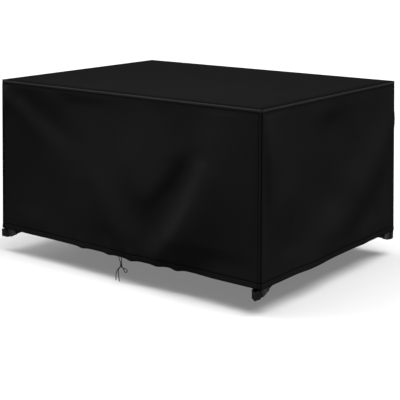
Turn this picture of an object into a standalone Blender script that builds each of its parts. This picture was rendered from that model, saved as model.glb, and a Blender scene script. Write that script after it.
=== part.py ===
"""Fitted rectangular cover of coated cloth, hanging in its folds.

Row frame, in metres: the origin is at the centre of the top panel's underside, where the cover is held up.
+X runs along the long side and +Z is up. The front is at -Y and the right side at +X.
"""

import math
from collections import namedtuple

import bmesh
import bpy
from mathutils import Matrix, Vector

# Driving sizes of the cloth
TOP_LENGTH = 1.483
TOP_WIDTH = 1.084
COVER_HEIGHT = 0.720
HEM_FLARE = 0.021
CLOTH = 0.002
HEM_BAND_HEIGHT = 0.024
HEM_BAND_EXTRA = 0.001
CORNER_RADIUS = 0.006
PIECE_GAP = 0.0003

# Seam strip round the top edge
WELT_HEIGHT = 0.013
WELT_DEPTH = 0.007
WELT_CORNER_RADIUS = 0.009
WELT_INSET = 0.001
TOP_PANEL_INSET = 0.0005
TOP_UNEVENNESS = 0.0008
SEAM_TUCK = 0.001

# Corner straps and their buckles
WEBBING_WIDTH = 0.036
WEBBING_THICKNESS = 0.0018
LOOP_OPENING = 0.0224
STRAP_BEND = 0.0045
BUCKLE_WIDTH = 0.042
BUCKLE_THICKNESS = 0.009
BUCKLE_INSET = 0.0076
BUCKLE_BEVEL = 0.0014
TONGUE_BASE = 0.011
SOCKET_LENGTH = 0.038
WEBBING_TUCK = 0.003
SEWN_END_CLEARANCE = 0.0017
RETURN_CLEARANCE = 0.0028

# Drawcord tie
CORD = 0.0035
CORD_POINT_STEP = 0.0080
CORD_STEPS = 40
KNOT_RADIUS = 0.0048
KNOT_HEIGHT = 0.008
CORD_SPACING = 0.0021

TOP_Z = CLOTH
HEM_Z = TOP_Z - COVER_HEIGHT
PANEL_TOP_DEPTH = CLOTH + PIECE_GAP + WELT_HEIGHT + PIECE_GAP

Side = namedtuple("Side", "name along outward half_length distance columns rows")
SIDES = (
    Side("front", Vector((1, 0, 0)), Vector((0, -1, 0)), TOP_LENGTH / 2, TOP_WIDTH / 2, 54, 22),
    Side("right", Vector((0, 1, 0)), Vector((1, 0, 0)), TOP_WIDTH / 2, TOP_LENGTH / 2, 36, 20),
    Side("back", Vector((-1, 0, 0)), Vector((0, 1, 0)), TOP_LENGTH / 2, TOP_WIDTH / 2, 30, 14),
    Side("left", Vector((0, -1, 0)), Vector((-1, 0, 0)), TOP_WIDTH / 2, TOP_LENGTH / 2, 22, 14),
)

# A fold is a soft ridge, or a trough where its height is negative, along a smooth curve on a panel.
# The curve's points are (distance along the panel from its middle, depth below the top), the three
# heights are those at the curve's start, middle and end, and the two widths are those of its slopes on
# the left and the right of the curve, as seen from outside by one who follows it.
Fold = namedtuple("Fold", "name start_height middle_height end_height left_width right_width path")
FOLDS = {
    "front": (
        Fold("corner sweep", 0.032, 0.0, 0.025, 0.120, 0.070,
             ((-0.740, 0.055), (-0.610, 0.090), (-0.500, 0.205), (-0.275, 0.380), (-0.115, 0.410),
              (0.030, 0.640))),
        Fold("hollow above sweep", -0.027, -0.027, -0.007, 0.070, 0.055,
             ((-0.685, 0.030), (-0.655, 0.060), (-0.580, 0.080), (-0.380, 0.200), (-0.285, 0.245))),
        Fold("hollow by left corner", -0.001, -0.015, 0.008, 0.120, 0.180,
             ((-0.700, 0.190), (-0.580, 0.315), (-0.415, 0.565), (-0.130, 0.505))),
        Fold("swag arm", 0.016, 0.041, 0.025, 0.150, 0.066,
             ((0.505, 0.185), (0.500, 0.250), (0.400, 0.475), (0.285, 0.640), (0.235, 0.675))),
        Fold("hollow inside swag", 0.004, -0.020, -0.002, 0.100, 0.040,
             ((0.390, 0.205), (0.375, 0.240), (0.305, 0.370), (0.180, 0.485), (0.040, 0.430))),
        Fold("inner swag", -0.004, 0.007, 0.018, 0.065, 0.130,
             ((0.310, 0.155), (0.280, 0.230), (0.225, 0.420))),
        Fold("hollow right of swag", -0.036, 0.002, 0.006, 0.105, 0.150,
             ((0.300, 0.760), (0.515, 0.705), (0.615, 0.585), (0.640, 0.430))),
        Fold("slack under top seam", -0.010, -0.001, 0.003, 0.030, 0.155,
             ((-0.265, 0.075), (0.040, 0.080), (0.185, 0.110))),
        Fold("rise inside swag", 0.015, 0.016, 0.010, 0.145, 0.090,
             ((0.080, 0.290), (0.110, 0.350), (0.160, 0.485))),
    ),
    "right": (
        Fold("corner sweep", 0.033, 0.027, 0.012, 0.140, 0.105,
             ((0.570, 0.185), (0.365, 0.295), (0.275, 0.380), (0.205, 0.460), (0.125, 0.540),
              (-0.180, 0.710))),
        Fold("hollow below sweep", -0.021, -0.008, -0.010, 0.115, 0.105,
             ((0.535, 0.285), (0.515, 0.440), (0.390, 0.555), (0.170, 0.640), (-0.005, 0.720))),
        Fold("hollow above sweep", 0.0, -0.008, -0.008, 0.080, 0.130,
             ((0.460, 0.055), (0.420, 0.190), (0.260, 0.290), (0.120, 0.285))),
        Fold("bulge under top seam", 0.003, 0.008, 0.003, 0.075, 0.040,
             ((-0.155, 0.070), (-0.025, 0.070), (0.110, 0.060))),
        Fold("bulge by near corner", 0.027, 0.019, -0.008, 0.155, 0.115,
             ((-0.560, 0.230), (-0.455, 0.370), (-0.300, 0.605))),
        Fold("low ridge", 0.013, -0.004, -0.001, 0.050, 0.050,
             ((0.270, 0.680), (0.410, 0.675), (0.530, 0.595))),
        Fold("hollow in middle", -0.016, -0.014, -0.020, 0.115, 0.135,
             ((0.005, 0.165), (-0.020, 0.245), (-0.025, 0.425))),
    ),
    "back": (
        Fold("left sweep", 0.010, 0.020, 0.006, 0.090, 0.060,
             ((-0.720, 0.030), (-0.520, 0.170), (-0.300, 0.330), (-0.080, 0.560))),
        Fold("right sweep", 0.012, 0.024, 0.008, 0.060, 0.095,
             ((0.720, 0.040), (0.560, 0.210), (0.380, 0.420), (0.220, 0.640))),
        Fold("middle hollow", -0.002, -0.014, -0.002, 0.080, 0.070,
             ((-0.140, 0.240), (0.040, 0.380), (0.260, 0.280))),
        Fold("hollow above sweep", -0.004, -0.012, 0.0, 0.060, 0.050,
             ((-0.640, 0.050), (-0.480, 0.110), (-0.340, 0.190))),
    ),
    "left": (
        Fold("corner sweep", 0.010, 0.020, 0.006, 0.090, 0.060,
             ((-0.520, 0.050), (-0.350, 0.220), (-0.120, 0.400), (0.080, 0.640))),
        Fold("short ridge", 0.004, 0.014, 0.004, 0.060, 0.080,
             ((0.520, 0.090), (0.400, 0.260), (0.300, 0.460))),
        Fold("middle hollow", -0.002, -0.012, -0.002, 0.080, 0.070,
             ((-0.050, 0.240), (0.120, 0.340), (0.260, 0.300))),
    ),
}
BILLOW = {"front": 0.004, "right": 0.003, "back": 0.006, "left": 0.004}

# The folds die away at a panel's upright edges and top seam. Just above the hem they are held back,
# wholly within the straps' reach of a corner and a little in the middle.
EDGE_FADE = 0.035
TOP_FADE = 0.030
HEM_REACH = 0.140
HEM_BLEND = 0.080
HEM_SHARE = 0.85
STRAP_REACH = 0.180
STRAP_BLEND = 0.150

# A fold's curve is taken in steps, and the height at a place is blended from the steps near it.
FOLD_STEPS = 12
FOLD_BLEND = 0.035
CONTACT = 1e-6

# Where the drawcord draws the front hem into small gathers: distance along the hem and size.
Gather = namedtuple("Gather", "along height dip")
GATHERS = (
    Gather(-0.219, 0.004, 0.004),
    Gather(-0.053, 0.005, 0.003),
    Gather(0.084, 0.006, 0.005),
    Gather(0.227, 0.005, 0.004),
    Gather(0.326, 0.006, 0.006),
)
GATHER_WIDTH = 0.026
GATHER_REACH = 0.085

# One row for each corner's strap: the corner's X and Y side, the panel that it is sewn to, the middle of
# the strap's loop measured from the hem's corner along that panel and into the cover, how far the strap's
# middle hangs below the hem, how much lower its loop sags, where and how steeply it starts to climb, where
# the buckle starts and where its ends are sewn to the hem.
Corner = namedtuple(
    "Corner", "name x_side y_side panel loop_along loop_in drop sag climb_from climb_deg buckle_at sewn_at")
CORNERS = (
    Corner("front_left", -1, -1, "front", 0.003, 0.0135, 0.0255, 0.002, 0.0315, 24, 0.042, 0.150),
    Corner("front_right", 1, -1, "right", 0.005, 0.0300, 0.0235, 0.009, -0.0020, 23, 0.0125, 0.112),
    Corner("back_right", 1, 1, "right", 0.014, 0.0135, 0.0215, 0.003, 0.0350, 18, 0.042, 0.168),
    Corner("back_left", -1, 1, "left", 0.012, 0.0135, 0.0225, 0.002, 0.0280, 21, 0.036, 0.155),
)

# Drawcord: where its two leads leave the front hem, where the knot hangs, and the routes below the knot
# as (x, y, z) steps from the knot's centre.
LEAD_STARTS = {"left": 0.007, "right": 0.026}
KNOT_DROP = 0.033
KNOT_ALONG = 0.022
END_ROUTES = {
    "long": ((-0.0058, 0.0024, -0.0125), (-0.0125, 0.0025, -0.0185), (-0.0190, 0.0020, -0.0310),
             (-0.0182, 0.0012, -0.0465), (-0.0140, 0.0004, -0.0680), (-0.0120, 0.0, -0.0815)),
    "short": ((-0.0058, -0.0024, -0.0130), (-0.0150, -0.0025, -0.0220), (-0.0240, -0.0025, -0.0360),
              (-0.0290, -0.0025, -0.0500), (-0.0305, -0.0025, -0.0790)),
}
LOOP_ROUTE = (
    (0.0052, 0.0024, -0.0125), (0.0108, 0.0024, -0.0185), (0.0165, 0.0014, -0.0265), (0.0245, 0.0, -0.0318),
    (0.0335, -0.0004, -0.0285), (0.0360, -0.0008, -0.0205), (0.0285, -0.0020, -0.0152),
    (0.0175, -0.0024, -0.0138), (0.0070, -0.0024, -0.0122),
)
CORD_STRAIGHT = 0.003


def smooth(value):
    """0 to 1 with soft ends, for a value that runs from 0 to 1."""
    t = min(max(value, 0.0), 1.0)
    return t * t * (3 - 2 * t)


def through(points, steps):
    """Points on a smooth curve through the given ones, with a number of steps to each span."""
    points = [Vector(p) for p in points]
    ends = [2 * points[0] - points[1]] + points + [2 * points[-1] - points[-2]]
    curve = []
    for a, b, c, d in zip(ends, ends[1:], ends[2:], ends[3:]):
        for step in range(steps):
            t = step / steps
            curve.append(0.5 * (2 * b + (c - a) * t + (2 * a - 5 * b + 4 * c - d) * t**2
                                + (3 * b - a - 3 * c + d) * t**3))
    curve.append(points[-1])
    return curve


def fold_points(fold):
    """Points along a fold's curve, each with its place, direction and height."""
    places = through(fold.path, FOLD_STEPS)
    after = places[1:] + [2 * places[-1] - places[-2]]
    points = []
    for i, (place, beyond) in enumerate(zip(places, after)):
        share = i / (len(places) - 1)
        first = fold.start_height + (fold.middle_height - fold.start_height) * smooth(2 * share)
        height = first + (fold.end_height - fold.middle_height) * smooth(2 * share - 1)
        points.append((place, (beyond - place).normalized(), height))
    return points


def fold_height(fold, points, place):
    """Height of one fold at a place on its panel, blended from the nearer parts of its curve."""
    gaps = [place - point for point, _, _ in points]
    least = min(gap.length_squared for gap in gaps)
    total = 0.0
    weight = 0.0
    for gap, (_, direction, height) in zip(gaps, points):
        far = gap.length_squared
        turned = direction.cross(gap) / max(math.sqrt(far), CONTACT)
        width = (fold.left_width * (1 - turned) + fold.right_width * (1 + turned)) / 2
        nearness = math.exp((least - far) / FOLD_BLEND**2)
        total += nearness * height * math.exp(-far / width**2)
        weight += nearness
    return total / weight


FOLD_CURVES = {panel: [(fold, fold_points(fold)) for fold in folds] for panel, folds in FOLDS.items()}


def gather_share(gather, along):
    return math.exp(-((along - gather.along) / GATHER_WIDTH) ** 2)


def relief(side, along, depth):
    """How far the cloth stands out from the panel's flat shape, in metres."""
    place = Vector((along, depth))
    height = sum(fold_height(fold, points, place) for fold, points in FOLD_CURVES[side.name])
    down = depth / COVER_HEIGHT
    across = along / side.half_length
    height += BILLOW[side.name] * (1 - across**2) * math.sin(math.pi * min(down, 1.0) * 0.75)
    from_corner = side.half_length - abs(along)
    from_top = depth - PANEL_TOP_DEPTH
    from_hem = COVER_HEIGHT - depth
    kept = HEM_SHARE * smooth((from_corner - STRAP_REACH) / STRAP_BLEND)
    height *= 1 - (1 - kept) * smooth((HEM_REACH - from_hem) / HEM_BLEND)
    if side.name == "front":
        low = smooth(1 - from_hem / GATHER_REACH)
        height += sum(g.height * gather_share(g, along) for g in GATHERS) * low
    return height * smooth(from_corner / EDGE_FADE) * smooth(from_top / TOP_FADE)


def hem_dip(side, along):
    """How far the hem's lower edge drops where the cloth is gathered."""
    if side.name != "front":
        return 0.0
    return sum(g.dip * gather_share(g, along) for g in GATHERS)


def material(name, colour, roughness, metallic=0.0):
    made = bpy.data.materials.new(name)
    made.use_nodes = True
    shader = made.node_tree.nodes["Principled BSDF"]
    shader.inputs["Base Color"].default_value = (*colour, 1.0)
    shader.inputs["Roughness"].default_value = roughness
    shader.inputs["Metallic"].default_value = metallic
    return made


def add_object(name, data, made_material, parent, location=(0, 0, 0)):
    data.materials.append(made_material)
    added = bpy.data.objects.new(name, data)
    bpy.context.scene.collection.objects.link(added)
    added.parent = parent
    added.location = location
    return added


def closed_sheet(name, outer, inner, heights):
    """A closed sheet between two skins, each a list of rows of points.

    Both are cut into triangles alike, along the diagonal on which the cloth's height changes least.
    """
    mesh = bmesh.new()
    skins = [[[mesh.verts.new(point) for point in row] for row in skin] for skin in (outer, inner)]
    rows = len(outer)
    columns = len(outer[0])
    for skin in skins:
        for r in range(rows - 1):
            for c in range(columns - 1):
                a, b = skin[r][c], skin[r][c + 1]
                d, e = skin[r + 1][c], skin[r + 1][c + 1]
                falling = abs(heights[r][c] - heights[r + 1][c + 1])
                rising = abs(heights[r][c + 1] - heights[r + 1][c])
                halves = ((a, b, e), (a, e, d)) if falling < rising else ((a, b, d), (b, e, d))
                for half in halves:
                    mesh.faces.new(half)
    front, back = skins
    for line_front, line_back in (
        (front[0], back[0]),
        (front[-1], back[-1]),
        ([row[0] for row in front], [row[0] for row in back]),
        ([row[-1] for row in front], [row[-1] for row in back]),
    ):
        for i in range(len(line_front) - 1):
            mesh.faces.new((line_front[i], line_front[i + 1], line_back[i + 1], line_back[i]))
    bmesh.ops.recalc_face_normals(mesh, faces=mesh.faces)
    data = bpy.data.meshes.new(name)
    mesh.to_mesh(data)
    mesh.free()
    return data


def panel_depths(side):
    """Depths of a side panel's rows: even down the panel, with closer ones at the seam and the hem band."""
    band_top = COVER_HEIGHT - HEM_BAND_HEIGHT
    first = PANEL_TOP_DEPTH + 0.012
    last = band_top - 0.003
    even = [first + (last - first) * i / side.rows for i in range(side.rows + 1)]
    return [PANEL_TOP_DEPTH] + even + [band_top, COVER_HEIGHT - HEM_BAND_HEIGHT / 2, COVER_HEIGHT]


def panel_columns(side):
    """Columns of a side panel: (share of the flat stretch, turn round the corner in degrees)."""
    flat = [(2 * i / side.columns - 1, 0.0) for i in range(side.columns + 1)]
    return [(-1.0, -45.0), (-1.0, -22.5)] + flat + [(1.0, 22.5), (1.0, 45.0)]


def panel_skins(side):
    """Outer and inner skins of a side panel, which bends round by 45 degrees at each upright edge, and the
    height of its folds at each point."""
    outer, inner, heights = [], [], []
    for depth in panel_depths(side):
        flare = HEM_FLARE * depth / COVER_HEIGHT - (SEAM_TUCK if depth == PANEL_TOP_DEPTH else 0.0)
        in_band = depth > COVER_HEIGHT - HEM_BAND_HEIGHT - 0.0001
        half = side.half_length + flare - PIECE_GAP * 0.8
        flat_half = half - CORNER_RADIUS
        outer_row, inner_row, height_row = [], [], []
        for share, turn_deg in panel_columns(side):
            turn = math.radians(turn_deg)
            along = share * flat_half + CORNER_RADIUS * math.sin(turn)
            out = side.distance + flare - CORNER_RADIUS * (1 - math.cos(turn))
            normal = side.outward * math.cos(turn) + side.along * math.sin(turn)
            height = relief(side, along, depth) if turn_deg == 0.0 else 0.0
            out += height
            dip = hem_dip(side, along) if depth == COVER_HEIGHT else 0.0
            base = side.along * along + side.outward * out + Vector((0, 0, TOP_Z - depth - dip))
            outer_row.append(base + normal * (HEM_BAND_EXTRA if in_band else 0.0))
            inner_row.append(base - normal * CLOTH)
            height_row.append(height)
        outer.append(outer_row)
        inner.append(inner_row)
        heights.append(height_row)
    return outer, inner, heights


def hem_bottom(side, along):
    """The middle of the hem's lower edge, which runs straight from one column of the panel to the next."""
    outer, inner, _ = panel_skins(side)
    edge = [a.lerp(b, 0.5) for a, b in zip(outer[-1], inner[-1])]
    before, after = next(
        (a, b) for a, b in zip(edge, edge[1:]) if a.dot(side.along) <= along < b.dot(side.along))
    share = (along - before.dot(side.along)) / (after - before).dot(side.along)
    return before.lerp(after, share)


def rounded_rectangle(half_x, half_y, radius, corner_steps, side_steps):
    """Points round a rectangle with rounded corners, anticlockwise, as (x, y, outward angle)."""
    points = []
    corners = ((1, -1, -90), (1, 1, 0), (-1, 1, 90), (-1, -1, 180))
    for i, (sx, sy, start) in enumerate(corners):
        centre = Vector((sx * (half_x - radius), sy * (half_y - radius)))
        for step in range(corner_steps + 1):
            angle = math.radians(start + 90 * step / corner_steps)
            points.append((centre.x + radius * math.cos(angle), centre.y + radius * math.sin(angle), angle))
        nx, ny, next_start = corners[(i + 1) % 4]
        ahead = math.radians(next_start)
        begin = Vector(points[-1][:2])
        finish = Vector((nx * (half_x - radius) + radius * math.cos(ahead),
                         ny * (half_y - radius) + radius * math.sin(ahead)))
        for step in range(1, side_steps):
            point = begin.lerp(finish, step / side_steps)
            points.append((point.x, point.y, ahead))
    return points


def build_top_panel(cloth, parent):
    """The top sheet: flat underneath and slightly uneven on top."""
    half_x = TOP_LENGTH / 2 - TOP_PANEL_INSET
    half_y = TOP_WIDTH / 2 - TOP_PANEL_INSET
    columns, rows = 16, 12
    mesh = bmesh.new()
    bmesh.ops.create_grid(mesh, x_segments=columns, y_segments=rows, size=1.0)
    rim = [edge for edge in mesh.edges if edge.is_boundary]
    for vert in mesh.verts:
        x, y = vert.co.x * half_x, vert.co.y * half_y
        wave = math.sin(5.0 * x + 2.0 * y) * math.cos(3.0 * y - 1.5 * x)
        inside = smooth((1 - abs(vert.co.x)) * 4) * smooth((1 - abs(vert.co.y)) * 4)
        vert.co = (x, y, TOP_Z + TOP_UNEVENNESS * (0.5 + 0.5 * wave) * inside)
    skirt = bmesh.ops.extrude_edge_only(mesh, edges=rim)["geom"]
    for vert in [item for item in skirt if isinstance(item, bmesh.types.BMVert)]:
        vert.co.z = 0.0
    bmesh.ops.contextual_create(mesh, geom=[edge for edge in mesh.edges if edge.is_boundary])
    bmesh.ops.recalc_face_normals(mesh, faces=mesh.faces)
    data = bpy.data.meshes.new("top_panel")
    mesh.to_mesh(data)
    mesh.free()
    add_object("top_panel", data, cloth, parent)


def build_side_panels(cloth, parent):
    for side in SIDES:
        name = f"panel_{side.name}"
        add_object(name, closed_sheet(name, *panel_skins(side)), cloth, parent)


def build_welt(cloth, parent):
    """The rounded strip that closes the seam between the top and the side panels."""
    sections = 8
    centre_z = -PIECE_GAP - WELT_HEIGHT / 2
    half_x = TOP_LENGTH / 2 - WELT_INSET
    half_y = TOP_WIDTH / 2 - WELT_INSET
    route = rounded_rectangle(half_x, half_y, WELT_CORNER_RADIUS, corner_steps=3, side_steps=6)
    mesh = bmesh.new()
    rings = []
    for x, y, angle in route:
        ring = []
        for k in range(sections):
            turn = 2 * math.pi * (k + 0.5) / sections
            reach = WELT_DEPTH / 2 * math.cos(turn)
            height = centre_z + WELT_HEIGHT / 2 * math.sin(turn)
            ring.append(mesh.verts.new((x + reach * math.cos(angle), y + reach * math.sin(angle), height)))
        rings.append(ring)
    for ring, following in zip(rings, rings[1:] + rings[:1]):
        for k in range(sections):
            n = (k + 1) % sections
            mesh.faces.new((ring[k], ring[n], following[n], following[k]))
    bmesh.ops.recalc_face_normals(mesh, faces=mesh.faces)
    data = bpy.data.meshes.new("top_welt")
    mesh.to_mesh(data)
    mesh.free()
    data.shade_smooth()
    add_object("top_welt", data, cloth, parent)


def corner_axes(corner):
    """The hem's corner, and the directions along the strap's panel and into the cover."""
    half_x = TOP_LENGTH / 2 + HEM_FLARE
    half_y = TOP_WIDTH / 2 + HEM_FLARE
    origin = Vector((corner.x_side * half_x, corner.y_side * half_y, HEM_Z))
    x_in = Vector((-corner.x_side, 0, 0))
    y_in = Vector((0, -corner.y_side, 0))
    return (origin, x_in, y_in) if corner.panel in ("front", "back") else (origin, y_in, x_in)


def rounded_route(points, radius, steps):
    """A route through 2-D points whose inner corners are rounded by arcs."""
    route = [Vector(points[0])]
    for before, corner, after in zip(points, points[1:], points[2:]):
        before, corner, after = Vector(before), Vector(corner), Vector(after)
        back = (before - corner).normalized()
        ahead = (after - corner).normalized()
        half_angle = back.angle(ahead) / 2
        cut = radius / math.tan(half_angle)
        start = corner + back * cut
        finish = corner + ahead * cut
        centre = corner + (back + ahead).normalized() * (radius / math.sin(half_angle))
        spoke_a, spoke_b = start - centre, finish - centre
        sweep = spoke_a.angle_signed(spoke_b)
        for step in range(steps + 1):
            spoke = spoke_a.copy()
            spoke.rotate(Matrix.Rotation(-sweep * step / steps, 2))
            route.append(centre + spoke)
    route.append(Vector(points[-1]))
    return route


def band(name, route, along, inward, width, thickness):
    """A closed strip of webbing along a route of (along, inward, up) places, leaning with its climb."""
    up = Vector((0, 0, 1))
    world = [along * p + inward * q + up * h for p, q, h in route]
    mesh = bmesh.new()
    sections = []
    for i, point in enumerate(world):
        tangent = (world[min(i + 1, len(world) - 1)] - world[max(i - 1, 0)]).normalized()
        rise, run = tangent.dot(up), tangent.dot(along)
        across = (up * (1 - rise**2) - along * (rise * run)).normalized()
        face = tangent.cross(across).normalized()
        sections.append([
            mesh.verts.new(point + across * (width / 2 * w) + face * (thickness / 2 * t))
            for w, t in ((-1, -1), (1, -1), (1, 1), (-1, 1))
        ])
    for section, following in zip(sections, sections[1:]):
        for k in range(4):
            n = (k + 1) % 4
            mesh.faces.new((section[k], section[n], following[n], following[k]))
    mesh.faces.new(sections[0])
    mesh.faces.new(sections[-1])
    bmesh.ops.recalc_face_normals(mesh, faces=mesh.faces)
    data = bpy.data.meshes.new(name)
    mesh.to_mesh(data)
    mesh.free()
    return data


def box_mesh(name, size, centre, bevel=0.0):
    """A box, with its edges bevelled where a bevel is given."""
    mesh = bmesh.new()
    bmesh.ops.create_cube(mesh, size=1.0)
    bmesh.ops.scale(mesh, vec=size, verts=mesh.verts)
    if bevel:
        bmesh.ops.bevel(mesh, geom=mesh.edges[:], offset=bevel, segments=1, affect="EDGES")
    bmesh.ops.translate(mesh, vec=centre, verts=mesh.verts)
    data = bpy.data.meshes.new(name)
    mesh.to_mesh(data)
    mesh.free()
    return data


def combined(name, base, steps):
    """A mesh made from a base by Boolean steps, each an operation and a mesh."""
    work = bpy.data.objects.new(name, base)
    bpy.context.scene.collection.objects.link(work)
    helpers = []
    for operation, tool_mesh in steps:
        tool = bpy.data.objects.new(name + "_tool", tool_mesh)
        tool.hide_render = True
        tool.display_type = "WIRE"
        bpy.context.scene.collection.objects.link(tool)
        helpers.append(tool)
        modifier = work.modifiers.new(operation, "BOOLEAN")
        modifier.operation = operation
        modifier.object = tool
        modifier.solver = "EXACT"
    evaluated = work.evaluated_get(bpy.context.evaluated_depsgraph_get())
    data = bpy.data.meshes.new_from_object(evaluated)
    data.name = name
    for helper in helpers + [work]:
        bpy.data.objects.remove(helper)
    return data


def buckle_meshes():
    """Socket and tongue of a side-release buckle, along +X from the tongue's end, +Z across its width.

    Both are the same mirrored across their length, so one pair serves every corner.
    """
    mouth = TONGUE_BASE + PIECE_GAP
    socket_middle = mouth + SOCKET_LENGTH / 2
    slot = (WEBBING_TUCK * 2 + 0.001, WEBBING_THICKNESS + 0.0008, WEBBING_WIDTH + 0.0012)
    cavity = (0.024, 0.0048, 0.034)
    arm = (0.023, cavity[1] - 2 * PIECE_GAP, 0.0055)
    guide_length = 0.018
    window = (0.012, cavity[1], 0.009)
    body = box_mesh("socket_body", (SOCKET_LENGTH, BUCKLE_THICKNESS, BUCKLE_WIDTH), (socket_middle, 0, 0),
                    BUCKLE_BEVEL)
    cuts = [("cavity", cavity, (mouth + cavity[0] / 2 - 0.001, 0, 0)),
            ("slot", slot, (mouth + SOCKET_LENGTH, 0, 0))]
    cuts += [("window", window, (mouth + 0.016, 0, sign * BUCKLE_WIDTH / 2)) for sign in (-1, 1)]
    socket = combined("buckle_socket", body, [("DIFFERENCE", box_mesh(*cut)) for cut in cuts])
    base = box_mesh("tongue_base", (TONGUE_BASE, BUCKLE_THICKNESS, BUCKLE_WIDTH), (TONGUE_BASE / 2, 0, 0),
                    BUCKLE_BEVEL)
    root = TONGUE_BASE - 0.001
    arm_offset = cavity[2] / 2 - PIECE_GAP - arm[2] / 2
    limbs = [("arm", arm, (root + arm[0] / 2, 0, sign * arm_offset)) for sign in (-1, 1)]
    limbs.append(("guide", (guide_length, arm[1], 0.006), (root + guide_length / 2, 0, 0)))
    steps = [("UNION", box_mesh(*limb)) for limb in limbs]
    tongue = combined("buckle_tongue", base, steps + [("DIFFERENCE", box_mesh("slot", slot, (0, 0, 0)))])
    return socket, tongue


def sewn_place(corner, origin, along):
    """How far inside the hem's corner a strap's end lies where it is sewn to its panel."""
    side = next(side for side in SIDES if side.name == corner.panel)
    on_panel = (origin + along * corner.sewn_at).dot(side.along)
    return CLOTH - relief(side, on_panel, COVER_HEIGHT) + SEWN_END_CLEARANCE + WEBBING_THICKNESS / 2


def build_strap(corner, socket_mesh, tongue_mesh, webbing, plastic, parent):
    """One corner's straps: the long one runs round an open loop, the short one holds the socket.

    Places are (along the panel, into the cover, above the hem), measured from the hem's corner.
    """
    origin, along, inward = corner_axes(corner)
    half = LOOP_OPENING / 2 + WEBBING_THICKNESS / 2
    climb_angle = math.radians(corner.climb_deg)
    buckle_end = corner.buckle_at + (TONGUE_BASE + PIECE_GAP + SOCKET_LENGTH) * math.cos(climb_angle)
    behind = BUCKLE_INSET + (BUCKLE_THICKNESS + WEBBING_THICKNESS) / 2 + RETURN_CLEARANCE
    far, near = corner.loop_along - half, corner.loop_along + half
    front = min(corner.loop_in - half, BUCKLE_INSET)
    back = corner.loop_in + half
    sewn = sewn_place(corner, origin, along)
    sewn_inner = sewn + WEBBING_THICKNESS + PIECE_GAP

    def height(p):
        return max(0.0, p - corner.climb_from) * math.tan(climb_angle) - corner.drop

    approach = [(corner.buckle_at + WEBBING_TUCK, BUCKLE_INSET), (corner.buckle_at - 0.001, BUCKLE_INSET)]
    if front < BUCKLE_INSET:
        approach += [((corner.buckle_at + near) / 2, (BUCKLE_INSET + front) / 2), (near - 0.001, front)]
    round_loop = rounded_route((approach[-1], (far, front), (far, back), (near, back), (near, behind),
                               (buckle_end + 0.004, behind)), STRAP_BEND, 4)
    turns = 5
    lowest = round_loop[turns].lerp(round_loop[turns + 1], 0.5)
    round_loop.insert(turns + 1, lowest)
    flat_route = [Vector(place) for place in approach[:-1]] + round_loop
    flat_route.append(Vector(((buckle_end + corner.sewn_at) / 2, (behind + sewn_inner) / 2)))
    flat_route.append(Vector((corner.sewn_at, sewn_inner)))
    route = [(p, q, height(p) - (corner.sag if Vector((p, q)) == lowest else 0.0)) for p, q in flat_route]
    data = band(f"strap_long_{corner.name}", route, along, inward, WEBBING_WIDTH, WEBBING_THICKNESS)
    add_object(data.name, data, webbing, parent, origin)

    short_start = buckle_end - WEBBING_TUCK
    steps = 3
    route = []
    for i in range(steps + 1):
        share = i / steps
        p = short_start + (corner.sewn_at - short_start) * share
        route.append((p, BUCKLE_INSET + (sewn - BUCKLE_INSET) * max(0.0, share * 1.5 - 0.5), height(p)))
    data = band(f"strap_short_{corner.name}", route, along, inward, WEBBING_WIDTH, WEBBING_THICKNESS)
    add_object(data.name, data, webbing, parent, origin)

    up = Vector((0, 0, 1))
    length_axis = along * math.cos(climb_angle) + up * math.sin(climb_angle)
    width_axis = up * math.cos(climb_angle) - along * math.sin(climb_angle)
    turn = Matrix((length_axis, width_axis.cross(length_axis), width_axis)).transposed().to_euler()
    place = origin + along * corner.buckle_at + inward * BUCKLE_INSET + up * height(corner.buckle_at)
    for kind, mesh in (("socket", socket_mesh), ("tongue", tongue_mesh)):
        copy = add_object(f"buckle_{kind}_{corner.name}", mesh.copy(), plastic, parent, place)
        copy.rotation_euler = turn


def build_straps(webbing, plastic, parent):
    socket_mesh, tongue_mesh = buckle_meshes()
    for corner in CORNERS:
        build_strap(corner, socket_mesh, tongue_mesh, webbing, plastic, parent)


def evenly(points, step):
    """The points of a fine curve thinned to one about every step."""
    kept = [points[0]]
    for point in points[1:-1]:
        if (point - kept[-1]).length >= step:
            kept.append(point)
    if (points[-1] - kept[-1]).length < step / 2:
        kept.pop()
    return kept + [points[-1]]


def cord_tube(name, route, straight_ends, made_material, parent):
    """A cord along a smooth route, whose first and last stretch can be told to stay straight."""
    first = straight_ends[0]
    last = len(route) - straight_ends[1]
    points = route[:first] + evenly(through(route[first:last], CORD_STEPS), CORD_POINT_STEP) + route[last:]
    curve = bpy.data.curves.new(name, "CURVE")
    curve.dimensions = "3D"
    curve.bevel_depth = CORD / 2
    curve.bevel_resolution = 2
    curve.use_fill_caps = True
    spline = curve.splines.new("POLY")
    spline.points.add(len(points) - 1)
    for control, point in zip(spline.points, points):
        control.co = (*point, 1.0)
    add_object(name, curve, made_material, parent)


def build_knot(place, made_material, parent):
    """A small barrel of three turns of cord."""
    profile = [(0.0, 0.5), (0.72, 0.5), (1.0, 0.36), (0.86, 0.17), (1.0, 0.0), (0.86, -0.17), (1.0, -0.36),
               (0.72, -0.5), (0.0, -0.5)]
    mesh = bmesh.new()
    verts = [mesh.verts.new((KNOT_RADIUS * r, 0, KNOT_HEIGHT * h)) for r, h in profile]
    edges = [mesh.edges.new(pair) for pair in zip(verts, verts[1:])]
    bmesh.ops.spin(mesh, geom=verts + edges, cent=(0, 0, 0), axis=(0, 0, 1), angle=2 * math.pi, steps=10,
                   use_merge=True)
    bmesh.ops.remove_doubles(mesh, verts=mesh.verts, dist=0.00001)
    bmesh.ops.recalc_face_normals(mesh, faces=mesh.faces)
    data = bpy.data.meshes.new("drawcord_knot")
    mesh.to_mesh(data)
    mesh.free()
    add_object("drawcord_knot", data, made_material, parent, place)


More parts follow.
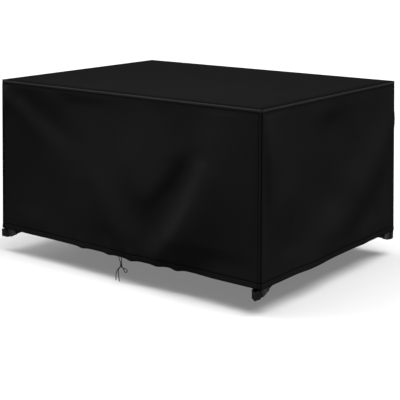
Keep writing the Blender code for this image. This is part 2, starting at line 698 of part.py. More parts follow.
def build_drawcord(cord, parent):
    """The tie under the front hem: two leads into a knot, one loop and two free ends out of it."""
    front = SIDES[0]
    hem = hem_bottom(front, KNOT_ALONG)
    knot = Vector((KNOT_ALONG, hem.y, HEM_Z - KNOT_DROP))
    build_knot(knot, cord, parent)
    clear = Vector((0, 0, KNOT_HEIGHT / 2 + PIECE_GAP))
    below = Vector((0, 0, -CORD_STRAIGHT))
    for label, sign in (("left", -1), ("right", 1)):
        start = hem_bottom(front, LEAD_STARTS[label]) - Vector((0, 0, PIECE_GAP * 2))
        finish = knot + clear + Vector((sign * CORD_SPACING, 0, 0))
        middle = start.lerp(finish, 0.5) + Vector((-sign * 0.0005, 0, -0.001))
        above = finish + Vector((sign * 0.0006, 0, 0.005))
        cord_tube(f"drawcord_lead_{label}", [start, middle, above, finish], (0, 1), cord, parent)
    for label, depth_sign in (("long", 1), ("short", -1)):
        start = knot - clear + Vector((-CORD_SPACING, depth_sign * CORD_SPACING, 0))
        route = [start, start + below] + [knot + Vector(step) for step in END_ROUTES[label]]
        cord_tube(f"drawcord_end_{label}", route, (1, 0), cord, parent)
    start = knot - clear + Vector((CORD_SPACING, CORD_SPACING, 0))
    finish = knot - clear + Vector((CORD_SPACING, -CORD_SPACING, 0))
    bend = [knot + Vector(step) for step in LOOP_ROUTE]
    route = [start, start + below] + bend + [finish + below, finish]
    cord_tube("drawcord_loop", route, (1, 1), cord, parent)


def main():
    for existing in list(bpy.data.objects):
        bpy.data.objects.remove(existing)
    cover = bpy.data.objects.new("cover", None)
    bpy.context.scene.collection.objects.link(cover)
    cloth = material("coated_cloth", (0.012, 0.012, 0.013), 0.55)
    webbing = material("webbing", (0.014, 0.014, 0.016), 0.7)
    plastic = material("buckle_plastic", (0.035, 0.035, 0.038), 0.35)
    cord = material("cord", (0.01, 0.01, 0.01), 0.8)
    build_top_panel(cloth, cover)
    build_side_panels(cloth, cover)
    build_welt(cloth, cover)
    build_straps(webbing, plastic, cover)
    build_drawcord(cord, cover)


main()
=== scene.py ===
import math
from collections import namedtuple

import bmesh
import bpy
import numpy as np
from mathutils import Matrix, Vector, noise


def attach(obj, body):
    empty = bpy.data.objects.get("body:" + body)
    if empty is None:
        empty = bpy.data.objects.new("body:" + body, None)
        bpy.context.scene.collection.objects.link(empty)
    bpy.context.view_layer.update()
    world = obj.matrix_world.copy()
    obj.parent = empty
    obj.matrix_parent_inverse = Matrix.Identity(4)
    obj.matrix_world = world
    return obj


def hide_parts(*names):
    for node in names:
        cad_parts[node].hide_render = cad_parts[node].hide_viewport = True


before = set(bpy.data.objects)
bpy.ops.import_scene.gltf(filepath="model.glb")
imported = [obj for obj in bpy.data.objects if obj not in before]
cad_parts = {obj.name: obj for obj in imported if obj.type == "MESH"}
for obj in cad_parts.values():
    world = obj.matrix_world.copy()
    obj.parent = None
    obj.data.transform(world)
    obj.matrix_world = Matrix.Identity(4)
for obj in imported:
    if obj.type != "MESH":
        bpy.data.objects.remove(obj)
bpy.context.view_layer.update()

# ---------------------------------------------------------------------------------------------
# Sizes, in metres, in the row frame. They repeat those of the solids.
TOP_LENGTH = 1.483
TOP_WIDTH = 1.084
COVER_HEIGHT = 0.720
HEM_FLARE = 0.021
CLOTH = 0.002
HEM_BAND_HEIGHT = 0.024
HEM_BAND_EXTRA = 0.001
CORNER_RADIUS = 0.006
PIECE_GAP = 0.0003
WELT_HEIGHT = 0.013
WELT_DEPTH = 0.007
WELT_CORNER_RADIUS = 0.009
WELT_INSET = 0.001
TOP_PANEL_INSET = 0.0005
WEBBING_WIDTH = 0.036
WEBBING_THICKNESS = 0.0018
LOOP_OPENING = 0.0224
STRAP_BEND = 0.0045
BUCKLE_WIDTH = 0.042
BUCKLE_THICKNESS = 0.009
BUCKLE_INSET = 0.0076
TONGUE_BASE = 0.011
SOCKET_LENGTH = 0.038
WEBBING_TUCK = 0.003
SEWN_END_CLEARANCE = 0.0017
RETURN_CLEARANCE = 0.0028
CORD = 0.0035
KNOT_HEIGHT = 0.008
CORD_SPACING = 0.0021
TOP_Z = CLOTH
HEM_Z = TOP_Z - COVER_HEIGHT
PANEL_TOP_DEPTH = CLOTH + PIECE_GAP + WELT_HEIGHT + PIECE_GAP
FLOOR_Z = -0.838

# The sheets, whose seams are finer than those of the solids
SHEET = 0.0009
SEAM_GAP = PIECE_GAP * 0.8
LAP_WIDTH = 0.0170
HEM_STITCH_UP = 0.0236
HEM_SHADE_UP = 0.0252
SEAM_ALLOWANCE = np.array([0.0005, 0.0026])
TUCK_CLEARANCE = 0.0013
LAPPED_SIDES = ("front", "back")

Side = namedtuple("Side", "name along outward half_length distance columns rows seed")
SIDES = {
    side.name: side for side in (
        Side("front", (1, 0, 0), (0, -1, 0), TOP_LENGTH / 2, TOP_WIDTH / 2, 230, 112, 1.0),
        Side("right", (0, 1, 0), (1, 0, 0), TOP_WIDTH / 2, TOP_LENGTH / 2, 180, 112, 2.0),
        Side("back", (-1, 0, 0), (0, 1, 0), TOP_LENGTH / 2, TOP_WIDTH / 2, 190, 90, 3.0),
        Side("left", (0, -1, 0), (-1, 0, 0), TOP_WIDTH / 2, TOP_LENGTH / 2, 140, 90, 4.0),
    )
}

# The folds of the solids: heights at a fold's start, middle and end, its widths on the left and the
# right of its line, and the line as (distance along the panel from its middle, depth below the top).
# A program's fit to the photograph's shading set those of the front and the right, rounded. Seven
# heights and widths of the front's fourth and fifth folds were then changed.
Fold = namedtuple("Fold", "start_height middle_height end_height left_width right_width path")
FOLDS = {
    "front": (
        Fold(0.032, 0.0, 0.025, 0.120, 0.070,
             ((-0.740, 0.055), (-0.610, 0.090), (-0.500, 0.205), (-0.275, 0.380), (-0.115, 0.410),
              (0.030, 0.640))),
        Fold(-0.027, -0.027, -0.007, 0.070, 0.055,
             ((-0.685, 0.030), (-0.655, 0.060), (-0.580, 0.080), (-0.380, 0.200), (-0.285, 0.245))),
        Fold(-0.001, -0.015, 0.008, 0.120, 0.180,
             ((-0.700, 0.190), (-0.580, 0.315), (-0.415, 0.565), (-0.130, 0.505))),
        Fold(0.016, 0.041, 0.025, 0.150, 0.066,
             ((0.505, 0.185), (0.500, 0.250), (0.400, 0.475), (0.285, 0.640), (0.235, 0.675))),
        Fold(0.004, -0.020, -0.002, 0.100, 0.040,
             ((0.390, 0.205), (0.375, 0.240), (0.305, 0.370), (0.180, 0.485), (0.040, 0.430))),
        Fold(-0.004, 0.007, 0.018, 0.065, 0.130,
             ((0.310, 0.155), (0.280, 0.230), (0.225, 0.420))),
        Fold(-0.036, 0.002, 0.006, 0.105, 0.150,
             ((0.300, 0.760), (0.515, 0.705), (0.615, 0.585), (0.640, 0.430))),
        Fold(-0.010, -0.001, 0.003, 0.030, 0.155,
             ((-0.265, 0.075), (0.040, 0.080), (0.185, 0.110))),
        Fold(0.015, 0.016, 0.010, 0.145, 0.090,
             ((0.080, 0.290), (0.110, 0.350), (0.160, 0.485))),
    ),
    "right": (
        Fold(0.033, 0.027, 0.012, 0.140, 0.105,
             ((0.570, 0.185), (0.365, 0.295), (0.275, 0.380), (0.205, 0.460), (0.125, 0.540),
              (-0.180, 0.710))),
        Fold(-0.021, -0.008, -0.010, 0.115, 0.105,
             ((0.535, 0.285), (0.515, 0.440), (0.390, 0.555), (0.170, 0.640), (-0.005, 0.720))),
        Fold(0.0, -0.008, -0.008, 0.080, 0.130,
             ((0.460, 0.055), (0.420, 0.190), (0.260, 0.290), (0.120, 0.285))),
        Fold(0.003, 0.008, 0.003, 0.075, 0.040,
             ((-0.155, 0.070), (-0.025, 0.070), (0.110, 0.060))),
        Fold(0.027, 0.019, -0.008, 0.155, 0.115,
             ((-0.560, 0.230), (-0.455, 0.370), (-0.300, 0.605))),
        Fold(0.013, -0.004, -0.001, 0.050, 0.050,
             ((0.270, 0.680), (0.410, 0.675), (0.530, 0.595))),
        Fold(-0.016, -0.014, -0.020, 0.115, 0.135,
             ((0.005, 0.165), (-0.020, 0.245), (-0.025, 0.425))),
    ),
    "back": (
        Fold(0.010, 0.020, 0.006, 0.090, 0.060,
             ((-0.720, 0.030), (-0.520, 0.170), (-0.300, 0.330), (-0.080, 0.560))),
        Fold(0.012, 0.024, 0.008, 0.060, 0.095,
             ((0.720, 0.040), (0.560, 0.210), (0.380, 0.420), (0.220, 0.640))),
        Fold(-0.002, -0.014, -0.002, 0.080, 0.070,
             ((-0.140, 0.240), (0.040, 0.380), (0.260, 0.280))),
        Fold(-0.004, -0.012, 0.0, 0.060, 0.050,
             ((-0.640, 0.050), (-0.480, 0.110), (-0.340, 0.190))),
    ),
    "left": (
        Fold(0.010, 0.020, 0.006, 0.090, 0.060,
             ((-0.520, 0.050), (-0.350, 0.220), (-0.120, 0.400), (0.080, 0.640))),
        Fold(0.004, 0.014, 0.004, 0.060, 0.080,
             ((0.520, 0.090), (0.400, 0.260), (0.300, 0.460))),
        Fold(-0.002, -0.012, -0.002, 0.080, 0.070,
             ((-0.050, 0.240), (0.120, 0.340), (0.260, 0.300))),
    ),
}
BILLOW = {"front": 0.004, "right": 0.003, "back": 0.006, "left": 0.004}
EDGE_FADE = 0.035
TOP_FADE = 0.030
HEM_REACH = 0.140
HEM_BLEND = 0.080
HEM_SHARE = 0.85
STRAP_REACH = 0.180
STRAP_BLEND = 0.150
FOLD_STEPS = 12
FOLD_BLEND = 0.035

Gather = namedtuple("Gather", "along height dip")
GATHERS = (
    Gather(-0.219, 0.004, 0.004),
    Gather(-0.053, 0.005, 0.003),
    Gather(0.084, 0.006, 0.005),
    Gather(0.227, 0.005, 0.004),
    Gather(0.326, 0.006, 0.006),
)
GATHER_WIDTH = 0.026
GATHER_REACH = 0.085

Corner = namedtuple(
    "Corner", "name x_side y_side panel loop_along loop_in drop sag climb_from climb_deg buckle_at sewn_at")
CORNERS = (
    Corner("front_left", -1, -1, "front", 0.003, 0.0135, 0.0255, 0.002, 0.0315, 24, 0.042, 0.150),
    Corner("front_right", 1, -1, "right", 0.005, 0.0300, 0.0235, 0.009, -0.0020, 23, 0.0125, 0.112),
    Corner("back_right", 1, 1, "right", 0.014, 0.0135, 0.0215, 0.003, 0.0350, 18, 0.042, 0.168),
    Corner("back_left", -1, 1, "left", 0.012, 0.0135, 0.0225, 0.002, 0.0280, 21, 0.036, 0.155),
)

# The drawcord, as in the solids: the knot's centre, where the leads leave the hem, and the routes
# below the knot as steps from its centre.
BRAID_PITCH = 0.0055
KNOT = Vector((0.022, -0.57311, -0.751))
LEAD_TOPS = {"left": Vector((0.007, -0.57207, -0.7187)), "right": Vector((0.026, -0.57339, -0.7187))}
END_ROUTES = {
    "long": ((-0.0058, 0.0024, -0.0125), (-0.0125, 0.0025, -0.0185), (-0.0190, 0.0020, -0.0310),
             (-0.0182, 0.0012, -0.0465), (-0.0140, 0.0004, -0.0680), (-0.0120, 0.0, -0.0815)),
    "short": ((-0.0058, -0.0024, -0.0130), (-0.0150, -0.0025, -0.0220), (-0.0240, -0.0025, -0.0360),
              (-0.0290, -0.0025, -0.0500), (-0.0305, -0.0025, -0.0790)),
}
LOOP_ROUTE = (
    (0.0052, 0.0024, -0.0125), (0.0108, 0.0024, -0.0185), (0.0165, 0.0014, -0.0265), (0.0245, 0.0, -0.0318),
    (0.0335, -0.0004, -0.0285), (0.0360, -0.0008, -0.0205), (0.0285, -0.0020, -0.0152),
    (0.0175, -0.0024, -0.0138), (0.0070, -0.0024, -0.0122),
)


# ---------------------------------------------------------------------------------------------
# Small helpers
def smooth(value):
    t = np.clip(value, 0.0, 1.0)
    return t * t * (3 - 2 * t)


def bell(distance, width):
    return np.exp(-(distance / width) ** 2)


def through(points, steps):
    """An array of points on a smooth curve through the given ones."""
    p = np.array(points, float)
    p = np.vstack([2 * p[0] - p[1], p, 2 * p[-1] - p[-2]])
    t = (np.arange(steps) / steps)[:, None]
    spans = []
    for a, b, c, d in zip(p, p[1:], p[2:], p[3:]):
        spans.append(0.5 * (2 * b + (c - a) * t + (2 * a - 5 * b + 4 * c - d) * t**2
                            + (3 * b - a - 3 * c + d) * t**3))
    return np.vstack(spans + [p[-2][None]])


def distances_along(points):
    """The distance along a line at each of its points."""
    steps = np.linalg.norm(np.diff(np.array(points, float), axis=0), axis=1)
    return np.concatenate([[0.0], np.cumsum(steps)])


def resampled(points, step):
    """The points of a fine line spaced evenly, about a step apart."""
    p = np.array(points, float)
    runs = distances_along(p)
    count = max(2, int(round(runs[-1] / step)) + 1)
    marks = np.linspace(0.0, runs[-1], count)
    return np.stack([np.interp(marks, runs, p[:, k]) for k in range(p.shape[1])], axis=1)


def scene_object(name, data):
    made = bpy.data.objects.new(name, data)
    bpy.context.scene.collection.objects.link(made)
    return made


def declare(piece, slot, *nodes):
    """Says what a piece rides on and which solids it stands for. The slot is not used."""
    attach(piece, "root")
    if nodes:
        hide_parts(*nodes)


def ring_faces(rings, sections, closed=False):
    """Faces of a skin over rings of points, which is capped at its ends or closes on itself."""
    faces = []
    for ring in range(rings if closed else rings - 1):
        here, ahead = ring * sections, (ring + 1) % rings * sections
        for k in range(sections):
            n = (k + 1) % sections
            faces.append((here + k, here + n, ahead + n, ahead + k))
    if not closed:
        faces.append(tuple(range(sections)))
        faces.append(tuple((rings - 1) * sections + k for k in range(sections)))
    return faces


def sheet_faces(rows, columns):
    """Faces of a thin closed sheet: a grid, the same grid behind it, and the rim that joins them."""
    count = rows * columns
    faces = []
    for r in range(rows - 1):
        for c in range(columns - 1):
            a = r * columns + c
            quad = (a, a + columns, a + columns + 1, a + 1)
            faces += [quad, tuple(count + k for k in reversed(quad))]
    rim = list(range(columns)) + [r * columns + columns - 1 for r in range(1, rows)]
    rim += [(rows - 1) * columns + c for c in range(columns - 2, -1, -1)]
    rim += [r * columns for r in range(rows - 2, 0, -1)]
    return faces + [(a, b, b + count, a + count) for a, b in zip(rim, rim[1:] + rim[:1])]


def paint_seam_shade(piece, painted_shade):
    """Stores painted shade: how far a sheet's cloth is darkened along its seams, hem and rims, on both its
    sides.
    """
    attribute = piece.data.attributes.new("seam", "FLOAT", "POINT")
    attribute.data.foreach_set("value", np.tile(np.clip(painted_shade, 0, 1), 2).astype(np.float32))


def mesh_object(name, verts, faces, made_material, uvs):
    """A smooth mesh object from arrays, with UVs given per vertex in metres."""
    data = bpy.data.meshes.new(name)
    data.from_pydata([tuple(v) for v in np.asarray(verts, float).tolist()], [], faces)
    data.materials.append(made_material)
    layer = data.uv_layers.new(name="UVMap")
    corner_verts = np.empty(len(data.loops), np.int32)
    data.loops.foreach_get("vertex_index", corner_verts)
    layer.data.foreach_set("uv", np.asarray(uvs, np.float32)[corner_verts].ravel())
    data.shade_smooth()
    return scene_object(name, data)


def face_out(piece):
    """Turns a closed mesh's faces outward."""
    mesh = bmesh.new()
    mesh.from_mesh(piece.data)
    bmesh.ops.recalc_face_normals(mesh, faces=mesh.faces)
    mesh.to_mesh(piece.data)
    mesh.free()
    return piece


def value_noise(xs, ys, seed):
    """Smooth noise from -1 to 1 at each of the places that two arrays give."""
    offset = 17.3 * seed
    return np.array([noise.noise(Vector((x + offset, y - offset, 0.37 * seed))) for x, y in zip(xs, ys)])


# ---------------------------------------------------------------------------------------------
# Materials. The periods are in metres.
WARP_PITCH = 0.0009
WEFT_PITCH = WARP_PITCH * 1.15
BRAID_LEAN_DEG = 52
FLOOR_GLOW = 0.2
FLOOR_BOUNCE = (0.19, 0.19, 0.19)


def shader_of(made):
    return made.node_tree.nodes["Principled BSDF"]


def new_material(name, roughness, specular):
    made = bpy.data.materials.new(name)
    made.use_nodes = True
    shader = shader_of(made)
    shader.inputs["Roughness"].default_value = roughness
    shader.inputs["Specular IOR Level"].default_value = specular
    return made


def node(made, kind, **values):
    added = made.node_tree.nodes.new(kind)
    for key, value in values.items():
        setattr(added, key, value)
    return added


def link(made, source, target):
    made.node_tree.links.new(source, target)


def ramp(made, factor, stops):
    """A colour ramp of (position, grey or colour) stops."""
    added = node(made, "ShaderNodeValToRGB")
    link(made, factor, added.inputs["Fac"])
    elements = added.color_ramp.elements
    while len(elements) < len(stops):
        elements.new(0.5)
    for element, (position, colour) in zip(elements, stops):
        element.position = position
        element.color = (*colour, 1.0) if isinstance(colour, tuple) else (colour, colour, colour, 1.0)
    return added


def cloth_uv(made):
    return node(made, "ShaderNodeUVMap", uv_map="UVMap").outputs["UV"]


def vary_roughness(made, factor, least, most):
    """Lets the roughness follow a factor from one value to another."""
    rough = node(made, "ShaderNodeMapRange")
    link(made, factor, rough.inputs["Value"])
    rough.inputs["To Min"].default_value = least
    rough.inputs["To Max"].default_value = most
    link(made, rough.outputs["Result"], shader_of(made).inputs["Roughness"])


def math_node(made, operation, first, second):
    added = node(made, "ShaderNodeMath", operation=operation)
    for socket, value in zip(added.inputs, (first, second)):
        if isinstance(value, (int, float)):
            socket.default_value = value
        else:
            link(made, value, socket)
    return added.outputs[0]


def wave(made, coordinates, direction, period):
    """Bands of a period in metres along an axis of the coordinates."""
    added = node(made, "ShaderNodeTexWave", wave_type="BANDS", bands_direction=direction, wave_profile="SIN")
    link(made, coordinates, added.inputs["Vector"])
    added.inputs["Scale"].default_value = 2 * math.pi / 20 / period
    return added.outputs["Fac"]


def noise_texture(made, coordinates, scale, detail=2.0, roughness=0.5):
    added = node(made, "ShaderNodeTexNoise")
    link(made, coordinates, added.inputs["Vector"])
    added.inputs["Scale"].default_value = scale
    added.inputs["Detail"].default_value = detail
    added.inputs["Roughness"].default_value = roughness
    return added.outputs["Fac"]


def bump(made, height, distance, strength, below=None):
    added = node(made, "ShaderNodeBump")
    added.inputs["Distance"].default_value = distance
    added.inputs["Strength"].default_value = strength
    link(made, height, added.inputs["Height"])
    if below is not None:
        link(made, below, added.inputs["Normal"])
    return added.outputs["Normal"]


def mixed(made, factor, first, second):
    added = node(made, "ShaderNodeMix", data_type="RGBA", blend_type="MIX")
    for socket, value in zip((added.inputs["Factor"], added.inputs["A"], added.inputs["B"]),
                             (factor, first, second)):
        if isinstance(value, tuple):
            socket.default_value = (*value, 1.0)
        else:
            link(made, value, socket)
    return added.outputs["Result"]


def woven_cloth(name, dark, light, roughness, painted_shade_colour):
    """Coated cloth: a fine plain weave, faintly mottled, with painted shade along its seams, hem and rims."""
    made = new_material(name, roughness, 0.0)
    shader = shader_of(made)
    uv = cloth_uv(made)
    broad = noise_texture(made, uv, 5.0, 3.0)
    fine = noise_texture(made, uv, 90.0, 3.0, 0.6)
    blotch = math_node(made, "ADD", math_node(made, "MULTIPLY", broad, 0.7),
                       math_node(made, "MULTIPLY", fine, 0.3))
    cloth = ramp(made, blotch, ((0.30, dark), (0.70, light))).outputs["Color"]
    weave = math_node(made, "MAXIMUM", wave(made, uv, "X", WARP_PITCH), wave(made, uv, "Y", WEFT_PITCH))
    threads = mixed(made, ramp(made, weave, ((0.45, 0.0), (0.95, 1.0))).outputs["Color"],
                    tuple(0.72 * c for c in dark), cloth)
    # The 'seam' attribute asks for painted shade: the cloth is mixed toward the painted shade colour along
    # its seams, its hem and its rims.
    seam = node(made, "ShaderNodeAttribute", attribute_name="seam").outputs["Fac"]
    link(made, mixed(made, seam, threads, painted_shade_colour), shader.inputs["Base Color"])
    vary_roughness(made, blotch, roughness - 0.05, roughness + 0.07)
    creep = bump(made, noise_texture(made, uv, 38.0, 4.0, 0.55), 0.0006, 0.35)
    link(made, bump(made, weave, 0.00012, 0.35, creep), shader.inputs["Normal"])
    return made


def webbing_material():
    """Flat woven webbing: raised ribs across it, fine threads along it and a faint twill."""
    made = new_material("webbing_weave", 0.62, 0.06)
    shader = shader_of(made)
    uv = cloth_uv(made)
    ribs = wave(made, uv, "X", 0.0015)
    threads = wave(made, uv, "Y", 0.0011)
    twill = wave(made, uv, "DIAGONAL", 0.0024)
    weave = math_node(made, "MULTIPLY", math_node(made, "MAXIMUM", ribs, threads),
                      math_node(made, "ADD", math_node(made, "MULTIPLY", twill, 0.35), 0.65))
    wear = noise_texture(made, uv, 60.0, 3.0)
    colour = mixed(made, weave, (0.0060, 0.0062, 0.0076), (0.0170, 0.0176, 0.0210))
    link(made, mixed(made, wear, colour, (0.0124, 0.0128, 0.0152)), shader.inputs["Base Color"])
    link(made, bump(made, weave, 0.0004, 0.7), shader.inputs["Normal"])
    return made


def plastic_material():
    """Moulded plastic: dark and satin, with a faint grain and rubbed patches."""
    made = new_material("buckle_moulding", 0.36, 0.25)
    shader = shader_of(made)
    place = node(made, "ShaderNodeTexCoord").outputs["Object"]
    grain = noise_texture(made, place, 900.0, 2.0)
    rubbed = noise_texture(made, place, 70.0, 3.0)
    colour = ramp(made, rubbed, ((0.3, (0.014, 0.014, 0.016)), (0.75, (0.026, 0.026, 0.029))))
    link(made, colour.outputs["Color"], shader.inputs["Base Color"])
    vary_roughness(made, rubbed, 0.28, 0.44)
    link(made, bump(made, grain, 0.0001, 0.25), shader.inputs["Normal"])
    return made


def cord_material(name, dark, light, strand):
    """Braided cord: slanting strands both ways round it."""
    made = new_material(name, 0.7, 0.08)
    shader = shader_of(made)
    uv = cloth_uv(made)
    strands = []
    for lean in (BRAID_LEAN_DEG, -BRAID_LEAN_DEG):
        leaning = node(made, "ShaderNodeMapping")
        leaning.inputs["Rotation"].default_value = (0, 0, math.radians(lean))
        link(made, uv, leaning.inputs["Vector"])
        strands.append(wave(made, leaning.outputs[0], "X", strand))
    braid = math_node(made, "MAXIMUM", *strands)
    link(made, mixed(made, braid, dark, light), shader.inputs["Base Color"])
    link(made, bump(made, braid, 0.0004, 0.8), shader.inputs["Normal"])
    return made


def floor_material():
    """A plain pale floor, which throws less light on the cover than its colour would."""
    made = new_material("studio_floor", 0.85, 0.0)
    shader = shader_of(made)
    place = node(made, "ShaderNodeTexCoord").outputs["Object"]
    haze = noise_texture(made, place, 0.4, 1.0)
    link(made, ramp(made, haze, ((0.3, 0.42), (0.7, 0.43))).outputs["Color"], shader.inputs["Base Color"])
    shader.inputs["Emission Color"].default_value = (1.0, 1.0, 1.0, 1.0)
    shader.inputs["Emission Strength"].default_value = FLOOR_GLOW
    bounce = node(made, "ShaderNodeBsdfDiffuse")
    bounce.inputs["Color"].default_value = (*FLOOR_BOUNCE, 1.0)
    choice = node(made, "ShaderNodeMixShader")
    link(made, node(made, "ShaderNodeLightPath").outputs["Is Camera Ray"], choice.inputs["Fac"])
    link(made, bounce.outputs["BSDF"], choice.inputs[1])
    link(made, shader.outputs["BSDF"], choice.inputs[2])
    link(made, choice.outputs["Shader"], made.node_tree.nodes["Material Output"].inputs["Surface"])
    return made


CLOTH_MATERIAL = woven_cloth(
    "coated_cloth", (0.0117, 0.0117, 0.0119), (0.0143, 0.0143, 0.0146), 0.62, (0.0030, 0.0030, 0.0031))
# The top's copy of the coated cloth is painted about half as light as the sides': painted shade that offsets
# the strong light from above.
TOP_PAINTED_SHADE_MATERIAL = woven_cloth(
    "coated_cloth_top", (0.0061, 0.0061, 0.0063), (0.0075, 0.0075, 0.0077), 0.62, (0.0030, 0.0030, 0.0031))
# The welt's cloth is painted about twice as light as the sides': a painted highlight on the rounded strip.
WELT_PAINTED_HIGHLIGHT_MATERIAL = woven_cloth(
    "welt_cloth", (0.0230, 0.0230, 0.0234), (0.0280, 0.0280, 0.0285), 0.5, (0.0090, 0.0090, 0.0092))
# The thread is painted darker than the cloth, so that the stitch rows read as painted shade in their grooves.
THREAD_MATERIAL = cord_material("sewing_thread", (0.0024, 0.0024, 0.0026), (0.0064, 0.0064, 0.0068), 0.0003)
WEBBING_MATERIAL = webbing_material()
PLASTIC_MATERIAL = plastic_material()
CORD_MATERIAL = cord_material("braided_cord", (0.0030, 0.0030, 0.0032), (0.0100, 0.0100, 0.0107), 0.0009)


# ---------------------------------------------------------------------------------------------
# Camera
CAMERA_PLACE = (2.9268, -3.7411, 0.6054)
CAMERA_DOWN_DEG = 13.95
CAMERA_AROUND_DEG = 37.88
CAMERA_LENS_MM = 91.647
CAMERA_SENSOR_MM = 36.0


def add_camera():
    data = bpy.data.cameras.new("camera")
    data.lens = CAMERA_LENS_MM
    data.sensor_width = CAMERA_SENSOR_MM
    data.clip_start = 0.05
    data.clip_end = 500.0
    made = scene_object("camera", data)
    made.location = CAMERA_PLACE
    made.rotation_euler = (math.radians(90 - CAMERA_DOWN_DEG), 0.0, math.radians(CAMERA_AROUND_DEG))
    bpy.context.scene.camera = made


# ---------------------------------------------------------------------------------------------
# Drawcord
def frames_along(points):
    """Tangents and two cross directions, carried along a line without twist."""
    p = np.array(points, float)
    tangents = np.gradient(p, axis=0)
    tangents /= np.linalg.norm(tangents, axis=1)[:, None]
    first = np.cross(tangents[0], (0.3, 1.0, 0.2))
    side = first / np.linalg.norm(first)
    sides = []
    for tangent in tangents:
        side = side - tangent * side.dot(tangent)
        side /= np.linalg.norm(side)
        sides.append(side)
    sides = np.array(sides)
    return tangents, sides, np.cross(tangents, sides)


def tube(name, points, radius, around, braid):
    """A closed cord along a line, with the relief of a braid, and rounded at its ends."""
    _, side, other = frames_along(points)
    p = np.array(points, float)
    run = distances_along(p)
    from_end = np.minimum(run, run[-1] - run)
    narrowing = np.sqrt(1 - (1 - np.clip(from_end / radius, 0.12, 1.0)) ** 2)
    turn = 2 * np.pi * np.arange(around) / around
    lie = run[:, None] * 2 * np.pi / BRAID_PITCH
    relief_share = np.maximum(np.cos(4 * turn[None] + lie), np.cos(4 * turn[None] - lie))
    reach = radius * narrowing[:, None] * (1 + braid * (relief_share - 1) / 2)
    verts = (p[:, None] + side[:, None] * (reach * np.cos(turn))[..., None]
             + other[:, None] * (reach * np.sin(turn))[..., None]).reshape(-1, 3)
    uvs = np.stack([np.repeat(run, around), np.tile(turn * radius, len(p))], axis=1)
    return face_out(mesh_object(name, verts, ring_faces(len(p), around), CORD_MATERIAL, uvs))


def build_knot():
    """The knot of the tie: turns of cord round a short core, crossed by one strand."""
    radius = 0.0031
    turns = np.linspace(0.0, 2 * math.pi * 2.35, 120)
    rise = np.linspace(-0.5, 0.5, len(turns)) * (KNOT_HEIGHT - CORD)
    coil = np.stack([radius * np.cos(turns), radius * np.sin(turns), rise], axis=1)
    cross = through(((0.0025, 0.0012, -0.0022), (0.0018, -0.0030, -0.0012), (0.0, -0.0034, 0.0004),
                     (-0.0022, -0.0026, 0.0018), (-0.0030, 0.0004, 0.0024)), 12)
    centre = np.array(KNOT)
    core = through(((0.0, 0.0, -0.0034), (0.0004, 0.0, 0.0), (0.0, 0.0, 0.0034)), 8)
    parts = [tube("knot_turns", coil + centre, CORD / 2, 12, 0.10),
             tube("knot_cross", cross + centre, CORD / 2 * 0.96, 12, 0.10),
             tube("knot_core", core + centre, CORD / 2, 12, 0.10)]
    return joined("drawcord_tie_knot", parts)


def joined(name, parts):
    """Several mesh objects made into one."""
    mesh = bmesh.new()
    for part in parts:
        part.data.transform(part.matrix_basis)
        mesh.from_mesh(part.data)
    data = bpy.data.meshes.new(name)
    mesh.to_mesh(data)
    mesh.free()
    data.materials.append(parts[0].data.materials[0])
    data.shade_smooth()
    for part in parts:
        bpy.data.objects.remove(part)
    return scene_object(name, data)


def build_drawcord():
    clear = Vector((0, 0, KNOT_HEIGHT / 2 + PIECE_GAP))
    below = Vector((0, 0, -0.003))

    def lead(sign, label):
        start = LEAD_TOPS[label]
        finish = KNOT + clear + Vector((sign * CORD_SPACING, 0, 0))
        middle = start.lerp(finish, 0.5) + Vector((-sign * 0.0005, 0, -0.001))
        return [start, middle, finish + Vector((sign * 0.0006, 0, 0.005)), finish]

    long_start = KNOT - clear + Vector((-CORD_SPACING, CORD_SPACING, 0))
    long_route = lead(-1, "left") + [long_start, long_start + below]
    long_route += [KNOT + Vector(step) for step in END_ROUTES["long"]]
    loop_start = KNOT - clear + Vector((CORD_SPACING, CORD_SPACING, 0))
    loop_finish = KNOT - clear + Vector((CORD_SPACING, -CORD_SPACING, 0))
    loop_route = lead(1, "right") + [loop_start, loop_start + below]
    loop_route += [KNOT + Vector(step) for step in LOOP_ROUTE] + [loop_finish + below, loop_finish]
    short_start = KNOT - clear + Vector((-CORD_SPACING, -CORD_SPACING, 0))
    short_route = [short_start, short_start + below] + [KNOT + Vector(step) for step in END_ROUTES["short"]]

    knot_piece = build_knot()
    declare(knot_piece, "cord", "drawcord_knot")
    cords = (
        ("drawcord_long_run", long_route, "bare", ("drawcord_lead_left", "drawcord_end_long"), [knot_piece]),
        ("drawcord_loop_run", loop_route, "knot", ("drawcord_lead_right", "drawcord_loop"), [knot_piece]),
        ("drawcord_short_run", short_route, "bare", ("drawcord_end_short",), []),
    )
    for name, route, far_end, nodes, pieces in cords:
        line = resampled(through(route, 40), 0.0007)
        piece = tube(name, line, CORD / 2, 16, 0.12)
        declare(piece, "cord", *nodes)


# ---------------------------------------------------------------------------------------------
# Cloth
def fold_points(fold):
    """Arrays of a fold's points, their directions and their heights."""
    places = through(fold.path, FOLD_STEPS)
    steps = np.diff(np.vstack([places, 2 * places[-1:] - places[-2:-1]]), axis=0)
    share = np.arange(len(places)) / (len(places) - 1)
    heights = fold.start_height + (fold.middle_height - fold.start_height) * smooth(2 * share)
    heights = heights + (fold.end_height - fold.middle_height) * smooth(2 * share - 1)
    return places, steps / np.linalg.norm(steps, axis=1)[:, None], heights


FOLD_CURVES = {panel: [(fold, fold_points(fold)) for fold in folds] for panel, folds in FOLDS.items()}


